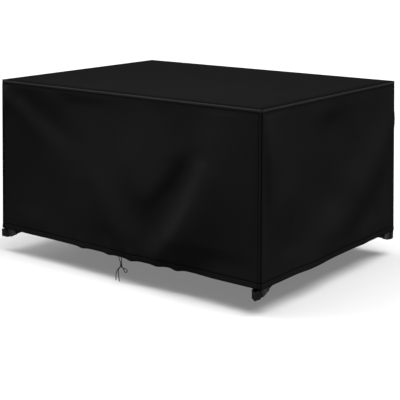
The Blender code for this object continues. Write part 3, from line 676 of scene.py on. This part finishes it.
def fold_heights(fold, points, along, depth):
    """Heights of one fold at arrays of places on its panel, blended from the nearer parts of its line."""
    places, directions, heights = points
    made = np.zeros(len(along))
    for start in range(0, len(along), 2048):
        block = slice(start, start + 2048)
        over = along[block, None] - places[None, :, 0]
        under = depth[block, None] - places[None, :, 1]
        gaps = over**2 + under**2
        turned = directions[None, :, 0] * under - directions[None, :, 1] * over
        turned = turned / np.maximum(np.sqrt(gaps), 1e-6)
        width = (fold.left_width * (1 - turned) + fold.right_width * (1 + turned)) / 2
        nearness = np.exp((gaps.min(axis=1, keepdims=True) - gaps) / FOLD_BLEND**2)
        total = (nearness * heights[None] * np.exp(-gaps / width**2)).sum(axis=1)
        made[block] = total / nearness.sum(axis=1)
    return made


def relief(side, along, depth):
    """How far the cloth stands out from the panel's flat shape: the folds of the solids."""
    height = np.zeros(len(along))
    for fold, points in FOLD_CURVES[side.name]:
        height += fold_heights(fold, points, along, depth)
    down = np.minimum(depth / COVER_HEIGHT, 1.0)
    across = along / side.half_length
    height += BILLOW[side.name] * (1 - across**2) * np.sin(math.pi * down * 0.75)
    from_corner = side.half_length - np.abs(along)
    from_top = depth - PANEL_TOP_DEPTH
    from_hem = COVER_HEIGHT - depth
    kept = HEM_SHARE * smooth((from_corner - STRAP_REACH) / STRAP_BLEND)
    height *= 1 - (1 - kept) * smooth((HEM_REACH - from_hem) / HEM_BLEND)
    if side.name == "front":
        low = smooth(1 - from_hem / GATHER_REACH)
        for gather in GATHERS:
            height += gather.height * bell(along - gather.along, GATHER_WIDTH) * low
    return height * smooth(from_corner / EDGE_FADE) * smooth(from_top / TOP_FADE)


def fine_relief(side, along, depth, from_corner):
    """The small forms that the solids leave out: slack between folds, puckers at seams and stitch lines."""
    up = COVER_HEIGHT - depth
    from_top = depth - PANEL_TOP_DEPTH
    inside = smooth(from_corner / 0.05) * smooth(from_top / 0.04) * smooth(up / 0.05)
    slack = value_noise(along * 5.0 + depth * 1.5, depth * 4.0, side.seed)
    slack += 0.5 * value_noise(along * 11.0 - depth * 4.0, depth * 9.0, side.seed + 7)
    height = 0.0011 * slack * inside
    pucker = value_noise(along * 48.0, depth * 3.0, side.seed + 13)
    height += 0.0007 * pucker * np.exp(-from_top / 0.022) * smooth(from_corner / 0.02)
    hem_pucker = value_noise(along * 62.0, depth * 4.0, side.seed + 19)
    height += 0.0006 * hem_pucker * bell(up - 0.030, 0.016) * smooth(from_corner / 0.02)
    side_pucker = value_noise(along * 4.0, depth * 40.0, side.seed + 23)
    height += 0.0005 * side_pucker * bell(from_corner - 0.028, 0.014) * smooth(from_top / 0.02)
    return height


def seam_relief(side, up, from_corner):
    """Stitch grooves and doubled cloth along the hem and the upright seams."""
    height = smooth((HEM_BAND_HEIGHT + 0.0006 - up) / 0.0016) * HEM_BAND_EXTRA
    height += -0.0011 * bell(up - HEM_STITCH_UP, 0.0016)
    height -= 0.0009 * smooth(1 - up / 0.0016)
    if side.name in LAPPED_SIDES:
        height += 0.0008 * smooth((LAP_WIDTH - from_corner) / 0.002)
        height -= 0.0010 * bell(from_corner - LAP_WIDTH, 0.0014)
    height += 0.0009 * bell(from_corner - 0.0085, 0.0050)
    height -= 0.0010 * smooth(1 - from_corner / 0.0030)
    return height


def hem_dip(side, along):
    """How far the front's lower edge dips where its hem is gathered."""
    if side.name != "front":
        return np.zeros(len(along))
    return sum(g.dip * bell(along - g.along, GATHER_WIDTH) for g in GATHERS)


def panel_columns(side):
    """Columns of a side panel: its place from -1 to 1 across the flat stretch, its turn round the corner
    and, for the seam allowance tucked behind the next panel, how far it runs on past the seam."""
    half = side.half_length
    seam, fine_end = 0.012, 0.034
    close = np.concatenate([np.linspace(0, seam, 9)[:-1], np.linspace(seam, fine_end, 15)[:-1]])
    spread = np.linspace(fine_end, 2 * half - fine_end, side.columns)
    places = np.concatenate([close, spread, 2 * half - close[::-1]]) / half - 1
    turns = np.radians(np.linspace(-45, 0, 7)[:-1])
    share = np.concatenate([np.full(len(turns), -1.0), places, np.full(len(turns), 1.0)])
    turn = np.concatenate([turns, np.zeros(len(places)), -turns[::-1]])
    tuck = np.zeros(len(share))
    if side.name in LAPPED_SIDES:
        ends = np.full(len(SEAM_ALLOWANCE), 1.0)
        share = np.concatenate([-ends, share, ends])
        turn = np.concatenate([ends * turn[0], turn, ends * turn[-1]])
        tuck = np.concatenate([-SEAM_ALLOWANCE[::-1], tuck, SEAM_ALLOWANCE])
    return share, turn, tuck


def panel_depths(side):
    """Depths of a side panel's rows, closer at the top seam, the hem's stitch line and the lower edge."""
    top = PANEL_TOP_DEPTH + np.concatenate([np.linspace(0, 0.012, 7)[:-1], [0.012]])
    band = COVER_HEIGHT - np.array([
        0.0310, 0.0285, 0.0268, 0.0258, 0.0250, 0.0243, 0.0236, 0.0229, 0.0222, 0.0214,
        0.0204, 0.0190, 0.0160, 0.0120, 0.0080, 0.0045, 0.0024, 0.0012, 0.0005, 0.0])
    middle = np.linspace(top[-1], band[0], side.rows)[1:-1]
    return np.concatenate([top, middle, band])


def panel_surface(side, share, turn, depth):
    """Outer points of a side panel, with its outward directions and its distance along, for arrays."""
    flare = HEM_FLARE * depth / COVER_HEIGHT
    half = side.half_length + flare - SEAM_GAP
    along = share * (half - CORNER_RADIUS) + CORNER_RADIUS * np.sin(turn)
    out = side.distance + flare - CORNER_RADIUS * (1 - np.cos(turn))
    from_corner = half - np.abs(along)
    flat = turn == 0.0
    height = np.where(flat, relief(side, along, depth), 0.0)
    height += fine_relief(side, along, depth, from_corner)
    height += seam_relief(side, COVER_HEIGHT - depth, from_corner)
    ahead, outward = np.array(side.along)[None], np.array(side.outward)[None]
    seat = outward * (out + np.where(flat, height, 0.0))[:, None]
    normal = outward * np.cos(turn)[:, None] + ahead * np.sin(turn)[:, None]
    seat = seat + normal * np.where(flat, 0.0, height)[:, None]
    points = seat + ahead * along[:, None]
    drop = hem_dip(side, along) * smooth(1 - (COVER_HEIGHT - depth) / 0.012)
    points[:, 2] = TOP_Z - depth - drop
    return points, normal, along


def build_panel(side):
    """One side panel: a thin closed sheet with its turned hem."""
    share, turn, tuck = panel_columns(side)
    depths = panel_depths(side)
    rows, columns = len(depths), len(share)
    grid_share = np.tile(share, rows)
    grid_turn = np.tile(turn, rows)
    grid_depth = np.repeat(depths, columns)
    outer, normal, along = panel_surface(side, grid_share, grid_turn, grid_depth)
    up = COVER_HEIGHT - grid_depth
    hem = 0.0016 * smooth((HEM_BAND_HEIGHT - up) / 0.0012)
    thickness = SHEET + hem - 0.0012 * smooth(1 - up / 0.0020)
    reach = np.tile(tuck, rows)
    onward = (np.array(side.along)[None] * np.cos(grid_turn)[:, None]
              - np.array(side.outward)[None] * np.sin(grid_turn)[:, None])
    behind = np.where(reach == 0.0, 0.0, SHEET + hem + TUCK_CLEARANCE)
    outer = outer + onward * reach[:, None] - normal * behind[:, None]
    inner = outer - normal * thickness[:, None]
    uv = np.stack([along, grid_depth], axis=1)
    piece = mesh_object(f"cloth_{side.name}", np.vstack([outer, inner]), sheet_faces(rows, columns),
                        CLOTH_MATERIAL, np.vstack([uv, uv]))
    from_corner = side.half_length + HEM_FLARE * grid_depth / COVER_HEIGHT - np.abs(along)
    lapped = side.name in LAPPED_SIDES
    # Painted shade: a dark line at the hem's stitch row and, on the lapped panels, at the lap's stitch row; a
    # faint band under the welt; darkening along the lower edge and round the corner seams.
    painted_shade = 0.95 * bell(up - HEM_SHADE_UP, 0.0030) + 0.7 * bell(from_corner - LAP_WIDTH, 0.0030) * lapped
    painted_shade += 0.25 * bell(grid_depth - PANEL_TOP_DEPTH, 0.0025) + 0.8 * smooth(1 - up / 0.0060)
    painted_shade += (0.9 if lapped else 0.2) * smooth(1.4 - from_corner / CORNER_RADIUS)
    paint_seam_shade(piece, painted_shade)
    declare(piece, "cloth", f"panel_{side.name}")
    return piece


def stitches(name, lines):
    """Rows of short stitches. Each line is a fine list of points on the cloth with its outward directions."""
    pitch, length, radius, sections = 0.0042, 0.0031, 0.00032, 5
    profile = ((0.0, 0.25, -0.9), (0.25, 1.0, 0.1), (0.75, 1.0, 0.1), (1.0, 0.25, -0.9))
    shape = ring_faces(len(profile), sections)
    verts, faces, uvs = [], [], []
    for points, outward in lines:
        run = distances_along(points)
        marks = np.arange(pitch / 2, run[-1] - length, pitch)
        for mark in marks:
            places = [np.array([np.interp(mark + length * s, run, points[:, k]) for k in range(3)])
                      for s, _, _ in profile]
            up = np.array([np.interp(mark, run, outward[:, k]) for k in range(3)])
            ahead = places[-1] - places[0]
            ahead /= np.linalg.norm(ahead)
            across = np.cross(ahead, up)
            base = len(verts)
            for (s, wide, lift), place in zip(profile, places):
                centre = place + up * radius * lift
                for k in range(sections):
                    angle = 2 * math.pi * k / sections
                    verts.append(centre + (across * math.cos(angle) + up * math.sin(angle)) * radius * wide)
                    uvs.append((mark + length * s, radius * angle))
            faces += [tuple(base + k for k in face) for face in shape]
    piece = face_out(mesh_object(name, np.array(verts), faces, THREAD_MATERIAL, np.array(uvs)))
    declare(piece, "cloth")
    return piece


def row_line(side, depth):
    """A level line on a panel, as points and outward directions."""
    step, inset = 0.004, 0.012
    half = side.half_length + HEM_FLARE * depth / COVER_HEIGHT - CORNER_RADIUS
    share = np.linspace(-1 + inset / half, 1 - inset / half, int(2 * half / step))
    points, normal, _ = panel_surface(side, share, np.zeros(len(share)), np.full(len(share), depth))
    return points, normal


def upright_line(side, sign, from_corner):
    """An upright line on a panel, a fixed distance from its seam."""
    depth = np.linspace(PANEL_TOP_DEPTH + 0.004, COVER_HEIGHT - HEM_BAND_HEIGHT - 0.003, 170)
    half = side.half_length + HEM_FLARE * depth / COVER_HEIGHT - SEAM_GAP
    share = sign * (half - from_corner) / (half - CORNER_RADIUS)
    points, normal, _ = panel_surface(side, share, np.zeros(len(share)), depth)
    return points, normal


def build_side_cloth():
    for side in SIDES.values():
        panel = build_panel(side)
        lines = [row_line(side, COVER_HEIGHT - HEM_STITCH_UP), row_line(side, PANEL_TOP_DEPTH + 0.0016)]
        if side.name in LAPPED_SIDES:
            lines += [upright_line(side, sign, LAP_WIDTH) for sign in (-1, 1)]
        thread = stitches(f"stitching_{side.name}", lines)


def build_top_cloth():
    """The top sheet, drawn taut, with its edges turned down into the seam."""
    half_x = TOP_LENGTH / 2 - TOP_PANEL_INSET
    half_y = TOP_WIDTH / 2 - TOP_PANEL_INSET
    edge = np.array([0.0, 0.0004, 0.0010, 0.0020, 0.0035, 0.0060, 0.0100, 0.0160, 0.0240])

    def places(half, count):
        inner = np.linspace(-half + edge[-1], half - edge[-1], count)[1:-1]
        return np.concatenate([-half + edge, inner, (half - edge)[::-1]])

    xs, ys = places(half_x, 120), places(half_y, 90)
    x, y = (a.ravel() for a in np.meshgrid(xs, ys))
    inside = np.minimum(half_x - np.abs(x), half_y - np.abs(y))
    drop = 0.0016 * (1 - np.sqrt(1 - (1 - np.clip(inside / 0.0022, 0, 1)) ** 2))
    slack = value_noise(x * 3.0 + y, y * 3.4, 31) + 0.4 * value_noise(x * 8.0 - 2 * y, y * 7.0, 33)
    pucker = value_noise(x * 40.0, y * 40.0, 37) * np.exp(-inside / 0.016)
    seam = -0.0005 * bell(inside - 0.0045, 0.0014)
    lift = 0.0010 * slack * smooth(inside / 0.06) + 0.0003 * pucker * smooth(inside / 0.004) + seam
    z = TOP_Z + 0.0004 + lift - drop
    under = np.where(inside < 0.0021, 0.0001, z - 0.0010)
    outer = np.stack([x, y, z], axis=1)
    inner = np.stack([x, y, np.minimum(under, z - 0.0003)], axis=1)
    faces = [face[::-1] for face in sheet_faces(len(ys), len(xs))]
    uv = np.stack([x, y], axis=1)
    piece = mesh_object("cloth_top", np.vstack([outer, inner]), faces, TOP_PAINTED_SHADE_MATERIAL, np.vstack([uv, uv]))
    # Painted shade: a dark line along the seam at the sheet's rim and a wider dark band about 5 cm in from
    # its edges.
    paint_seam_shade(piece, 0.8 * bell(inside, 0.0016) + 0.55 * smooth((0.048 - inside) / 0.022))
    declare(piece, "cloth", "top_panel")


def rounded_rectangle(half_x, half_y, radius, corner_steps, side_step):
    """Points round a rectangle with rounded corners, anticlockwise, with outward angles."""
    points, angles = [], []
    corners = ((1, -1, -90), (1, 1, 0), (-1, 1, 90), (-1, -1, 180))
    for i, (sx, sy, start) in enumerate(corners):
        centre = np.array((sx * (half_x - radius), sy * (half_y - radius)))
        for step in range(corner_steps + 1):
            angle = math.radians(start + 90 * step / corner_steps)
            points.append(centre + radius * np.array((math.cos(angle), math.sin(angle))))
            angles.append(angle)
        nx, ny, next_start = corners[(i + 1) % 4]
        ahead = math.radians(next_start)
        finish = np.array((nx * (half_x - radius), ny * (half_y - radius)))
        finish = finish + radius * np.array((math.cos(ahead), math.sin(ahead)))
        begin = points[-1]
        steps = int(np.linalg.norm(finish - begin) / side_step)
        for step in range(1, steps):
            points.append(begin + (finish - begin) * step / steps)
            angles.append(ahead)
    return np.array(points), np.array(angles)


def build_welt():
    """The seam strip round the top edge: plump, and a little uneven along its run."""
    sections = 20
    centre_z = -PIECE_GAP - WELT_HEIGHT / 2
    route, angle = rounded_rectangle(
        TOP_LENGTH / 2 - WELT_INSET, TOP_WIDTH / 2 - WELT_INSET, WELT_CORNER_RADIUS, 8, 0.0070)
    run = distances_along(route)
    turn = 2 * np.pi * (np.arange(sections) + 0.5) / sections
    plump = 1 + 0.05 * value_noise(run * 42.0, run * 0.0, 41)
    plump += 0.05 * value_noise(run * 11.0, run * 0.0 + 3.0, 43)
    squarer = np.sign(np.sin(turn)) * np.abs(np.sin(turn)) ** 0.9
    reach = WELT_DEPTH / 2 * np.cos(turn)[None] * plump[:, None]
    height = centre_z + WELT_HEIGHT / 2 * squarer[None] * np.ones(len(run))[:, None]
    verts = np.stack([route[:, None, 0] + reach * np.cos(angle)[:, None],
                      route[:, None, 1] + reach * np.sin(angle)[:, None], height], axis=2).reshape(-1, 3)
    uvs = np.stack([np.repeat(run, sections), np.tile(turn * WELT_HEIGHT / 3, len(route))], axis=1)
    faces = ring_faces(len(route), sections, closed=True)
    declare(face_out(mesh_object("seam_welt", verts, faces, WELT_PAINTED_HIGHLIGHT_MATERIAL, uvs)), "cloth", "top_welt")


# ---------------------------------------------------------------------------------------------
# Corner straps and buckles
def corner_axes(corner):
    """A corner of the hem, with the directions along the strap's panel and into the cover."""
    half_x = TOP_LENGTH / 2 + HEM_FLARE
    half_y = TOP_WIDTH / 2 + HEM_FLARE
    origin = Vector((corner.x_side * half_x, corner.y_side * half_y, HEM_Z))
    x_in = Vector((-corner.x_side, 0, 0))
    y_in = Vector((0, -corner.y_side, 0))
    return (origin, x_in, y_in) if corner.panel in ("front", "back") else (origin, y_in, x_in)


def rounded_route(points, radius, steps):
    """A route through 2-D points whose inner corners are rounded by arcs."""
    route = [Vector(points[0])]
    for before, corner, after in zip(points, points[1:], points[2:]):
        before, corner, after = Vector(before), Vector(corner), Vector(after)
        back = (before - corner).normalized()
        ahead = (after - corner).normalized()
        half_angle = back.angle(ahead) / 2
        cut_back = radius / math.tan(half_angle)
        start = corner + back * cut_back
        finish = corner + ahead * cut_back
        centre = corner + (back + ahead).normalized() * (radius / math.sin(half_angle))
        spoke_a, spoke_b = start - centre, finish - centre
        sweep = spoke_a.angle_signed(spoke_b)
        for step in range(steps + 1):
            spoke = spoke_a.copy()
            spoke.rotate(Matrix.Rotation(-sweep * step / steps, 2))
            route.append(centre + spoke)
    route.append(Vector(points[-1]))
    return route


def webbing_band(name, replaced, route, origin, along, inward):
    """A strip of webbing along a route of (along, inward, up) places, with rounded selvages."""
    up = np.array((0.0, 0.0, 1.0))
    along, inward = np.array(along), np.array(inward)
    line = resampled(route, 0.0022)
    world = line[:, :1] * along + line[:, 1:2] * inward + line[:, 2:] * up
    tangents = np.gradient(world, axis=0)
    tangents /= np.linalg.norm(tangents, axis=1)[:, None]
    rise = (tangents @ up)[:, None]
    run_share = (tangents @ along)[:, None]
    across = up * (1 - rise**2) - along * (rise * run_share)
    across /= np.linalg.norm(across, axis=1)[:, None]
    face = np.cross(tangents, across)
    face /= np.linalg.norm(face, axis=1)[:, None]
    half_w, half_t = WEBBING_WIDTH / 2, WEBBING_THICKNESS / 2
    places = np.concatenate([np.linspace(-1, 1, 11), np.linspace(1, -1, 11)])
    lift = np.concatenate([np.full(11, 1.0), np.full(11, -1.0)])
    shape = np.where(np.abs(places) > 0.99, 0.35, np.where(np.abs(places) > 0.78, 1.0, 0.86))
    run = distances_along(world)
    verts = (world[:, None] + across[:, None] * (half_w * places)[None, :, None]
             + face[:, None] * (half_t * lift * shape)[None, :, None] + np.array(origin))
    rings, sections = len(world), len(places)
    uvs = np.stack([np.repeat(run, sections), np.tile(half_w * places, rings)], axis=1)
    faces = ring_faces(rings, sections)
    band = mesh_object(name, verts.reshape(-1, 3), faces, WEBBING_MATERIAL, uvs)
    declare(face_out(band), "webbing", replaced)


def rounded_block(name, size, centre, radius, steps=3):
    """A block whose edges are all rounded."""
    mesh = bmesh.new()
    bmesh.ops.create_cube(mesh, size=1.0)
    bmesh.ops.scale(mesh, vec=size, verts=mesh.verts)
    bmesh.ops.bevel(mesh, geom=mesh.edges[:], offset=radius, segments=steps, profile=0.5, affect="EDGES")
    bmesh.ops.translate(mesh, vec=centre, verts=mesh.verts)
    data = bpy.data.meshes.new(name)
    mesh.to_mesh(data)
    mesh.free()
    data.materials.append(PLASTIC_MATERIAL)
    return scene_object(name, data)


def cut(name, size, centre, radius):
    """A step that cuts a rounded block away."""
    return "DIFFERENCE", rounded_block(name, size, centre, radius)


def grip_grooves(places, sign):
    """Steps that cut grip grooves across one face of a buckle."""
    face = sign * BUCKLE_THICKNESS / 2
    return [cut("rib", (0.0011, 0.0012, 0.030), (place, face, 0), 0.0003) for place in places]


def carved(name, base, steps):
    """A block after Boolean steps, as a new mesh."""
    for operation, tool in steps:
        modifier = base.modifiers.new(operation, "BOOLEAN")
        modifier.operation = operation
        modifier.object = tool
        modifier.solver = "EXACT"
    data = bpy.data.meshes.new_from_object(base.evaluated_get(bpy.context.evaluated_depsgraph_get()))
    data.name = name
    for _, tool in steps:
        bpy.data.objects.remove(tool)
    bpy.data.objects.remove(base)
    data.materials.clear()
    data.materials.append(PLASTIC_MATERIAL)
    data.shade_smooth()
    data.set_sharp_from_angle(angle=math.radians(32))
    return data


def buckle_meshes():
    """Socket and tongue of a side-release buckle, along +X from the tongue's end, +Z across its width."""
    mouth = TONGUE_BASE + PIECE_GAP
    middle = mouth + SOCKET_LENGTH / 2
    slot_size = (WEBBING_TUCK * 2 + 0.001, WEBBING_THICKNESS + 0.0008, WEBBING_WIDTH + 0.0012)
    body = rounded_block("socket", (SOCKET_LENGTH, BUCKLE_THICKNESS, BUCKLE_WIDTH), (middle, 0, 0), 0.0022, 4)
    half_width, half_thickness = BUCKLE_WIDTH / 2, BUCKLE_THICKNESS / 2
    steps = [cut("cavity", (0.024, 0.0048, 0.034), (mouth + 0.011, 0, 0), 0.0006),
             cut("slot", slot_size, (mouth + SOCKET_LENGTH, 0, 0), 0.0004)]
    for sign in (-1, 1):
        steps.append(cut("window", (0.013, 0.0048, 0.009), (mouth + 0.016, 0, sign * half_width), 0.0014))
        steps.append(cut("waist", (0.016, 0.012, 0.004),
                         (mouth + 0.016, 0, sign * (half_width + 0.0008)), 0.0018))
        steps.append(cut("panel", (0.017, 0.0016, 0.022),
                         (mouth + 0.0155, sign * (half_thickness + 0.0002), 0), 0.0006))
        steps += grip_grooves([mouth + place for place in (0.0285, 0.0315, 0.0345)], sign)
    socket = carved("buckle_socket", body, steps)
    base = rounded_block(
        "tongue", (TONGUE_BASE, BUCKLE_THICKNESS, BUCKLE_WIDTH), (TONGUE_BASE / 2, 0, 0), 0.0022, 4)
    root = TONGUE_BASE - 0.001
    arm = (0.023, 0.0042, 0.0055)
    offset = 0.017 - PIECE_GAP - arm[2] / 2
    steps = [("UNION", rounded_block("arm", arm, (root + arm[0] / 2, 0, sign * offset), 0.0012))
             for sign in (-1, 1)]
    steps.append(("UNION", rounded_block("guide", (0.018, 0.0042, 0.006), (root + 0.009, 0, 0), 0.0012)))
    steps.append(cut("slot", slot_size, (0, 0, 0), 0.0004))
    for sign in (-1, 1):
        steps += grip_grooves((0.0050, 0.0078), sign)
    return socket, carved("buckle_tongue", base, steps)


def sewn_place(corner, origin, along):
    """How far inside the hem's corner a strap's end lies where it is sewn to its panel."""
    side = SIDES[corner.panel]
    on_panel = (origin + along * corner.sewn_at).dot(Vector(side.along))
    height = float(relief(side, np.array([on_panel]), np.array([COVER_HEIGHT]))[0])
    return CLOTH - height + SEWN_END_CLEARANCE + WEBBING_THICKNESS / 2


def build_strap(corner, socket_mesh, tongue_mesh):
    """One corner's straps and buckle. Places are (along the panel, into the cover, above the hem)."""
    origin, along, inward = corner_axes(corner)
    half = LOOP_OPENING / 2 + WEBBING_THICKNESS / 2
    climb_angle = math.radians(corner.climb_deg)
    buckle_end = corner.buckle_at + (TONGUE_BASE + PIECE_GAP + SOCKET_LENGTH) * math.cos(climb_angle)
    behind = BUCKLE_INSET + (BUCKLE_THICKNESS + WEBBING_THICKNESS) / 2 + RETURN_CLEARANCE
    far, near = corner.loop_along - half, corner.loop_along + half
    front = min(corner.loop_in - half, BUCKLE_INSET)
    back = corner.loop_in + half
    sewn = sewn_place(corner, origin, along)
    sewn_inner = sewn + WEBBING_THICKNESS + PIECE_GAP

    def height(p):
        return max(0.0, p - corner.climb_from) * math.tan(climb_angle) - corner.drop

    approach = [(corner.buckle_at + WEBBING_TUCK, BUCKLE_INSET), (corner.buckle_at - 0.001, BUCKLE_INSET)]
    if front < BUCKLE_INSET:
        approach += [((corner.buckle_at + near) / 2, (BUCKLE_INSET + front) / 2), (near - 0.001, front)]
    steps = 8
    around = rounded_route((approach[-1], (far, front), (far, back), (near, back), (near, behind),
                            (buckle_end + 0.004, behind)), STRAP_BEND, steps)
    lowest = around[steps + 1].lerp(around[steps + 2], 0.5)
    around.insert(steps + 2, lowest)
    flat_route = [Vector(place) for place in approach[:-1]] + around
    flat_route.append(Vector(((buckle_end + corner.sewn_at) / 2, (behind + sewn_inner) / 2)))
    flat_route.append(Vector((corner.sewn_at, sewn_inner)))
    route = [(p, q, height(p) - (corner.sag if Vector((p, q)) == lowest else 0.0)) for p, q in flat_route]
    webbing_band(f"webbing_long_{corner.name}", f"strap_long_{corner.name}", route, origin, along, inward)

    short_start = buckle_end - WEBBING_TUCK
    route = []
    for share in np.linspace(0.0, 1.0, 13):
        p = short_start + (corner.sewn_at - short_start) * share
        route.append((p, BUCKLE_INSET + (sewn - BUCKLE_INSET) * max(0.0, share * 1.5 - 0.5), height(p)))
    webbing_band(f"webbing_short_{corner.name}", f"strap_short_{corner.name}", route, origin, along, inward)

    up = Vector((0, 0, 1))
    length_axis = along * math.cos(climb_angle) + up * math.sin(climb_angle)
    width_axis = up * math.cos(climb_angle) - along * math.sin(climb_angle)
    turn = Matrix((length_axis, width_axis.cross(length_axis), width_axis)).transposed().to_4x4()
    place = origin + along * corner.buckle_at + inward * BUCKLE_INSET + up * height(corner.buckle_at)
    for kind, mesh in (("socket", socket_mesh), ("tongue", tongue_mesh)):
        data = mesh.copy()
        data.transform(Matrix.Translation(place) @ turn)
        buckle = scene_object(f"side_release_{kind}_{corner.name}", data)
        declare(buckle, "buckle", f"buckle_{kind}_{corner.name}")


def build_straps():
    socket_mesh, tongue_mesh = buckle_meshes()
    for corner in CORNERS:
        build_strap(corner, socket_mesh, tongue_mesh)


# ---------------------------------------------------------------------------------------------
# Studio
# Each big soft light far off: degrees round from the front toward the right, degrees up, how many
# degrees wide it is, and its strength. The pool is a nearer light, aimed right of the front's middle.
Sun = namedtuple("Sun", "name around_deg up_deg softness_deg energy")
SUNS = (
    Sun("key_light", -60, 66, 45, 2.3),
    Sun("raking_light", -88, 28, 30, 1.3),
    Sun("side_light", 100, 70, 45, 4.6),
)
POOL_PLACE = Vector((-0.9, -1.6, 2.4))
POOL_AIM = Vector((0.25, -0.55, -0.40))
POOL_POWER = 160.0
POOL_WIDTH_DEG = 40
POOL_SOFTNESS = 0.4
WORLD_LIGHT = 0.12
BACKDROP_GLOW = 1.05
FLOOR_RADIUS = 70.0
WHITE = (1.0, 1.0, 1.0, 1.0)


def add_light(name, kind, energy, toward):
    """A light that shines against a direction, and its data."""
    light = bpy.data.lights.new(name, kind)
    light.energy = energy
    lamp = scene_object(name, light)
    lamp.rotation_euler = (-toward).to_track_quat("-Z", "Y").to_euler()
    return lamp, light


def build_floor():
    floor_mesh = bmesh.new()
    bmesh.ops.create_circle(floor_mesh, cap_ends=True, segments=96, radius=FLOOR_RADIUS)
    data = bpy.data.meshes.new("floor")
    floor_mesh.to_mesh(data)
    floor_mesh.free()
    data.materials.append(floor_material())
    floor = scene_object("floor", data)
    floor.location = (0, 0, FLOOR_Z)


def build_world():
    """A weak even light, before a backdrop that the camera sees as white."""
    world = bpy.data.worlds.new("studio")
    world.use_nodes = True
    tree = world.node_tree
    lit = tree.nodes["Background"]
    backdrop = tree.nodes.new("ShaderNodeBackground")
    for background, strength in ((lit, WORLD_LIGHT), (backdrop, BACKDROP_GLOW)):
        background.inputs["Color"].default_value = WHITE
        background.inputs["Strength"].default_value = strength
    choice = tree.nodes.new("ShaderNodeMixShader")
    tree.links.new(tree.nodes.new("ShaderNodeLightPath").outputs["Is Camera Ray"], choice.inputs["Fac"])
    tree.links.new(lit.outputs["Background"], choice.inputs[1])
    tree.links.new(backdrop.outputs["Background"], choice.inputs[2])
    tree.links.new(choice.outputs["Shader"], tree.nodes["World Output"].inputs["Surface"])
    bpy.context.scene.world = world


def build_lights():
    for sun in SUNS:
        around, up = math.radians(sun.around_deg), math.radians(sun.up_deg)
        toward = Vector((math.sin(around) * math.cos(up), -math.cos(around) * math.cos(up), math.sin(up)))
        _, light = add_light(sun.name, "SUN", sun.energy, toward)
        light.angle = math.radians(sun.softness_deg)
    lamp, light = add_light("pool_light", "SPOT", POOL_POWER, POOL_PLACE - POOL_AIM)
    lamp.location = POOL_PLACE
    light.spot_size = math.radians(POOL_WIDTH_DEG)
    light.spot_blend = 1.0
    light.shadow_soft_size = POOL_SOFTNESS


add_camera()
build_drawcord()
build_welt()
build_top_cloth()
build_side_cloth()
build_straps()
build_floor()
build_world()
build_lights()
bpy.context.scene.view_settings.view_transform = "Standard"
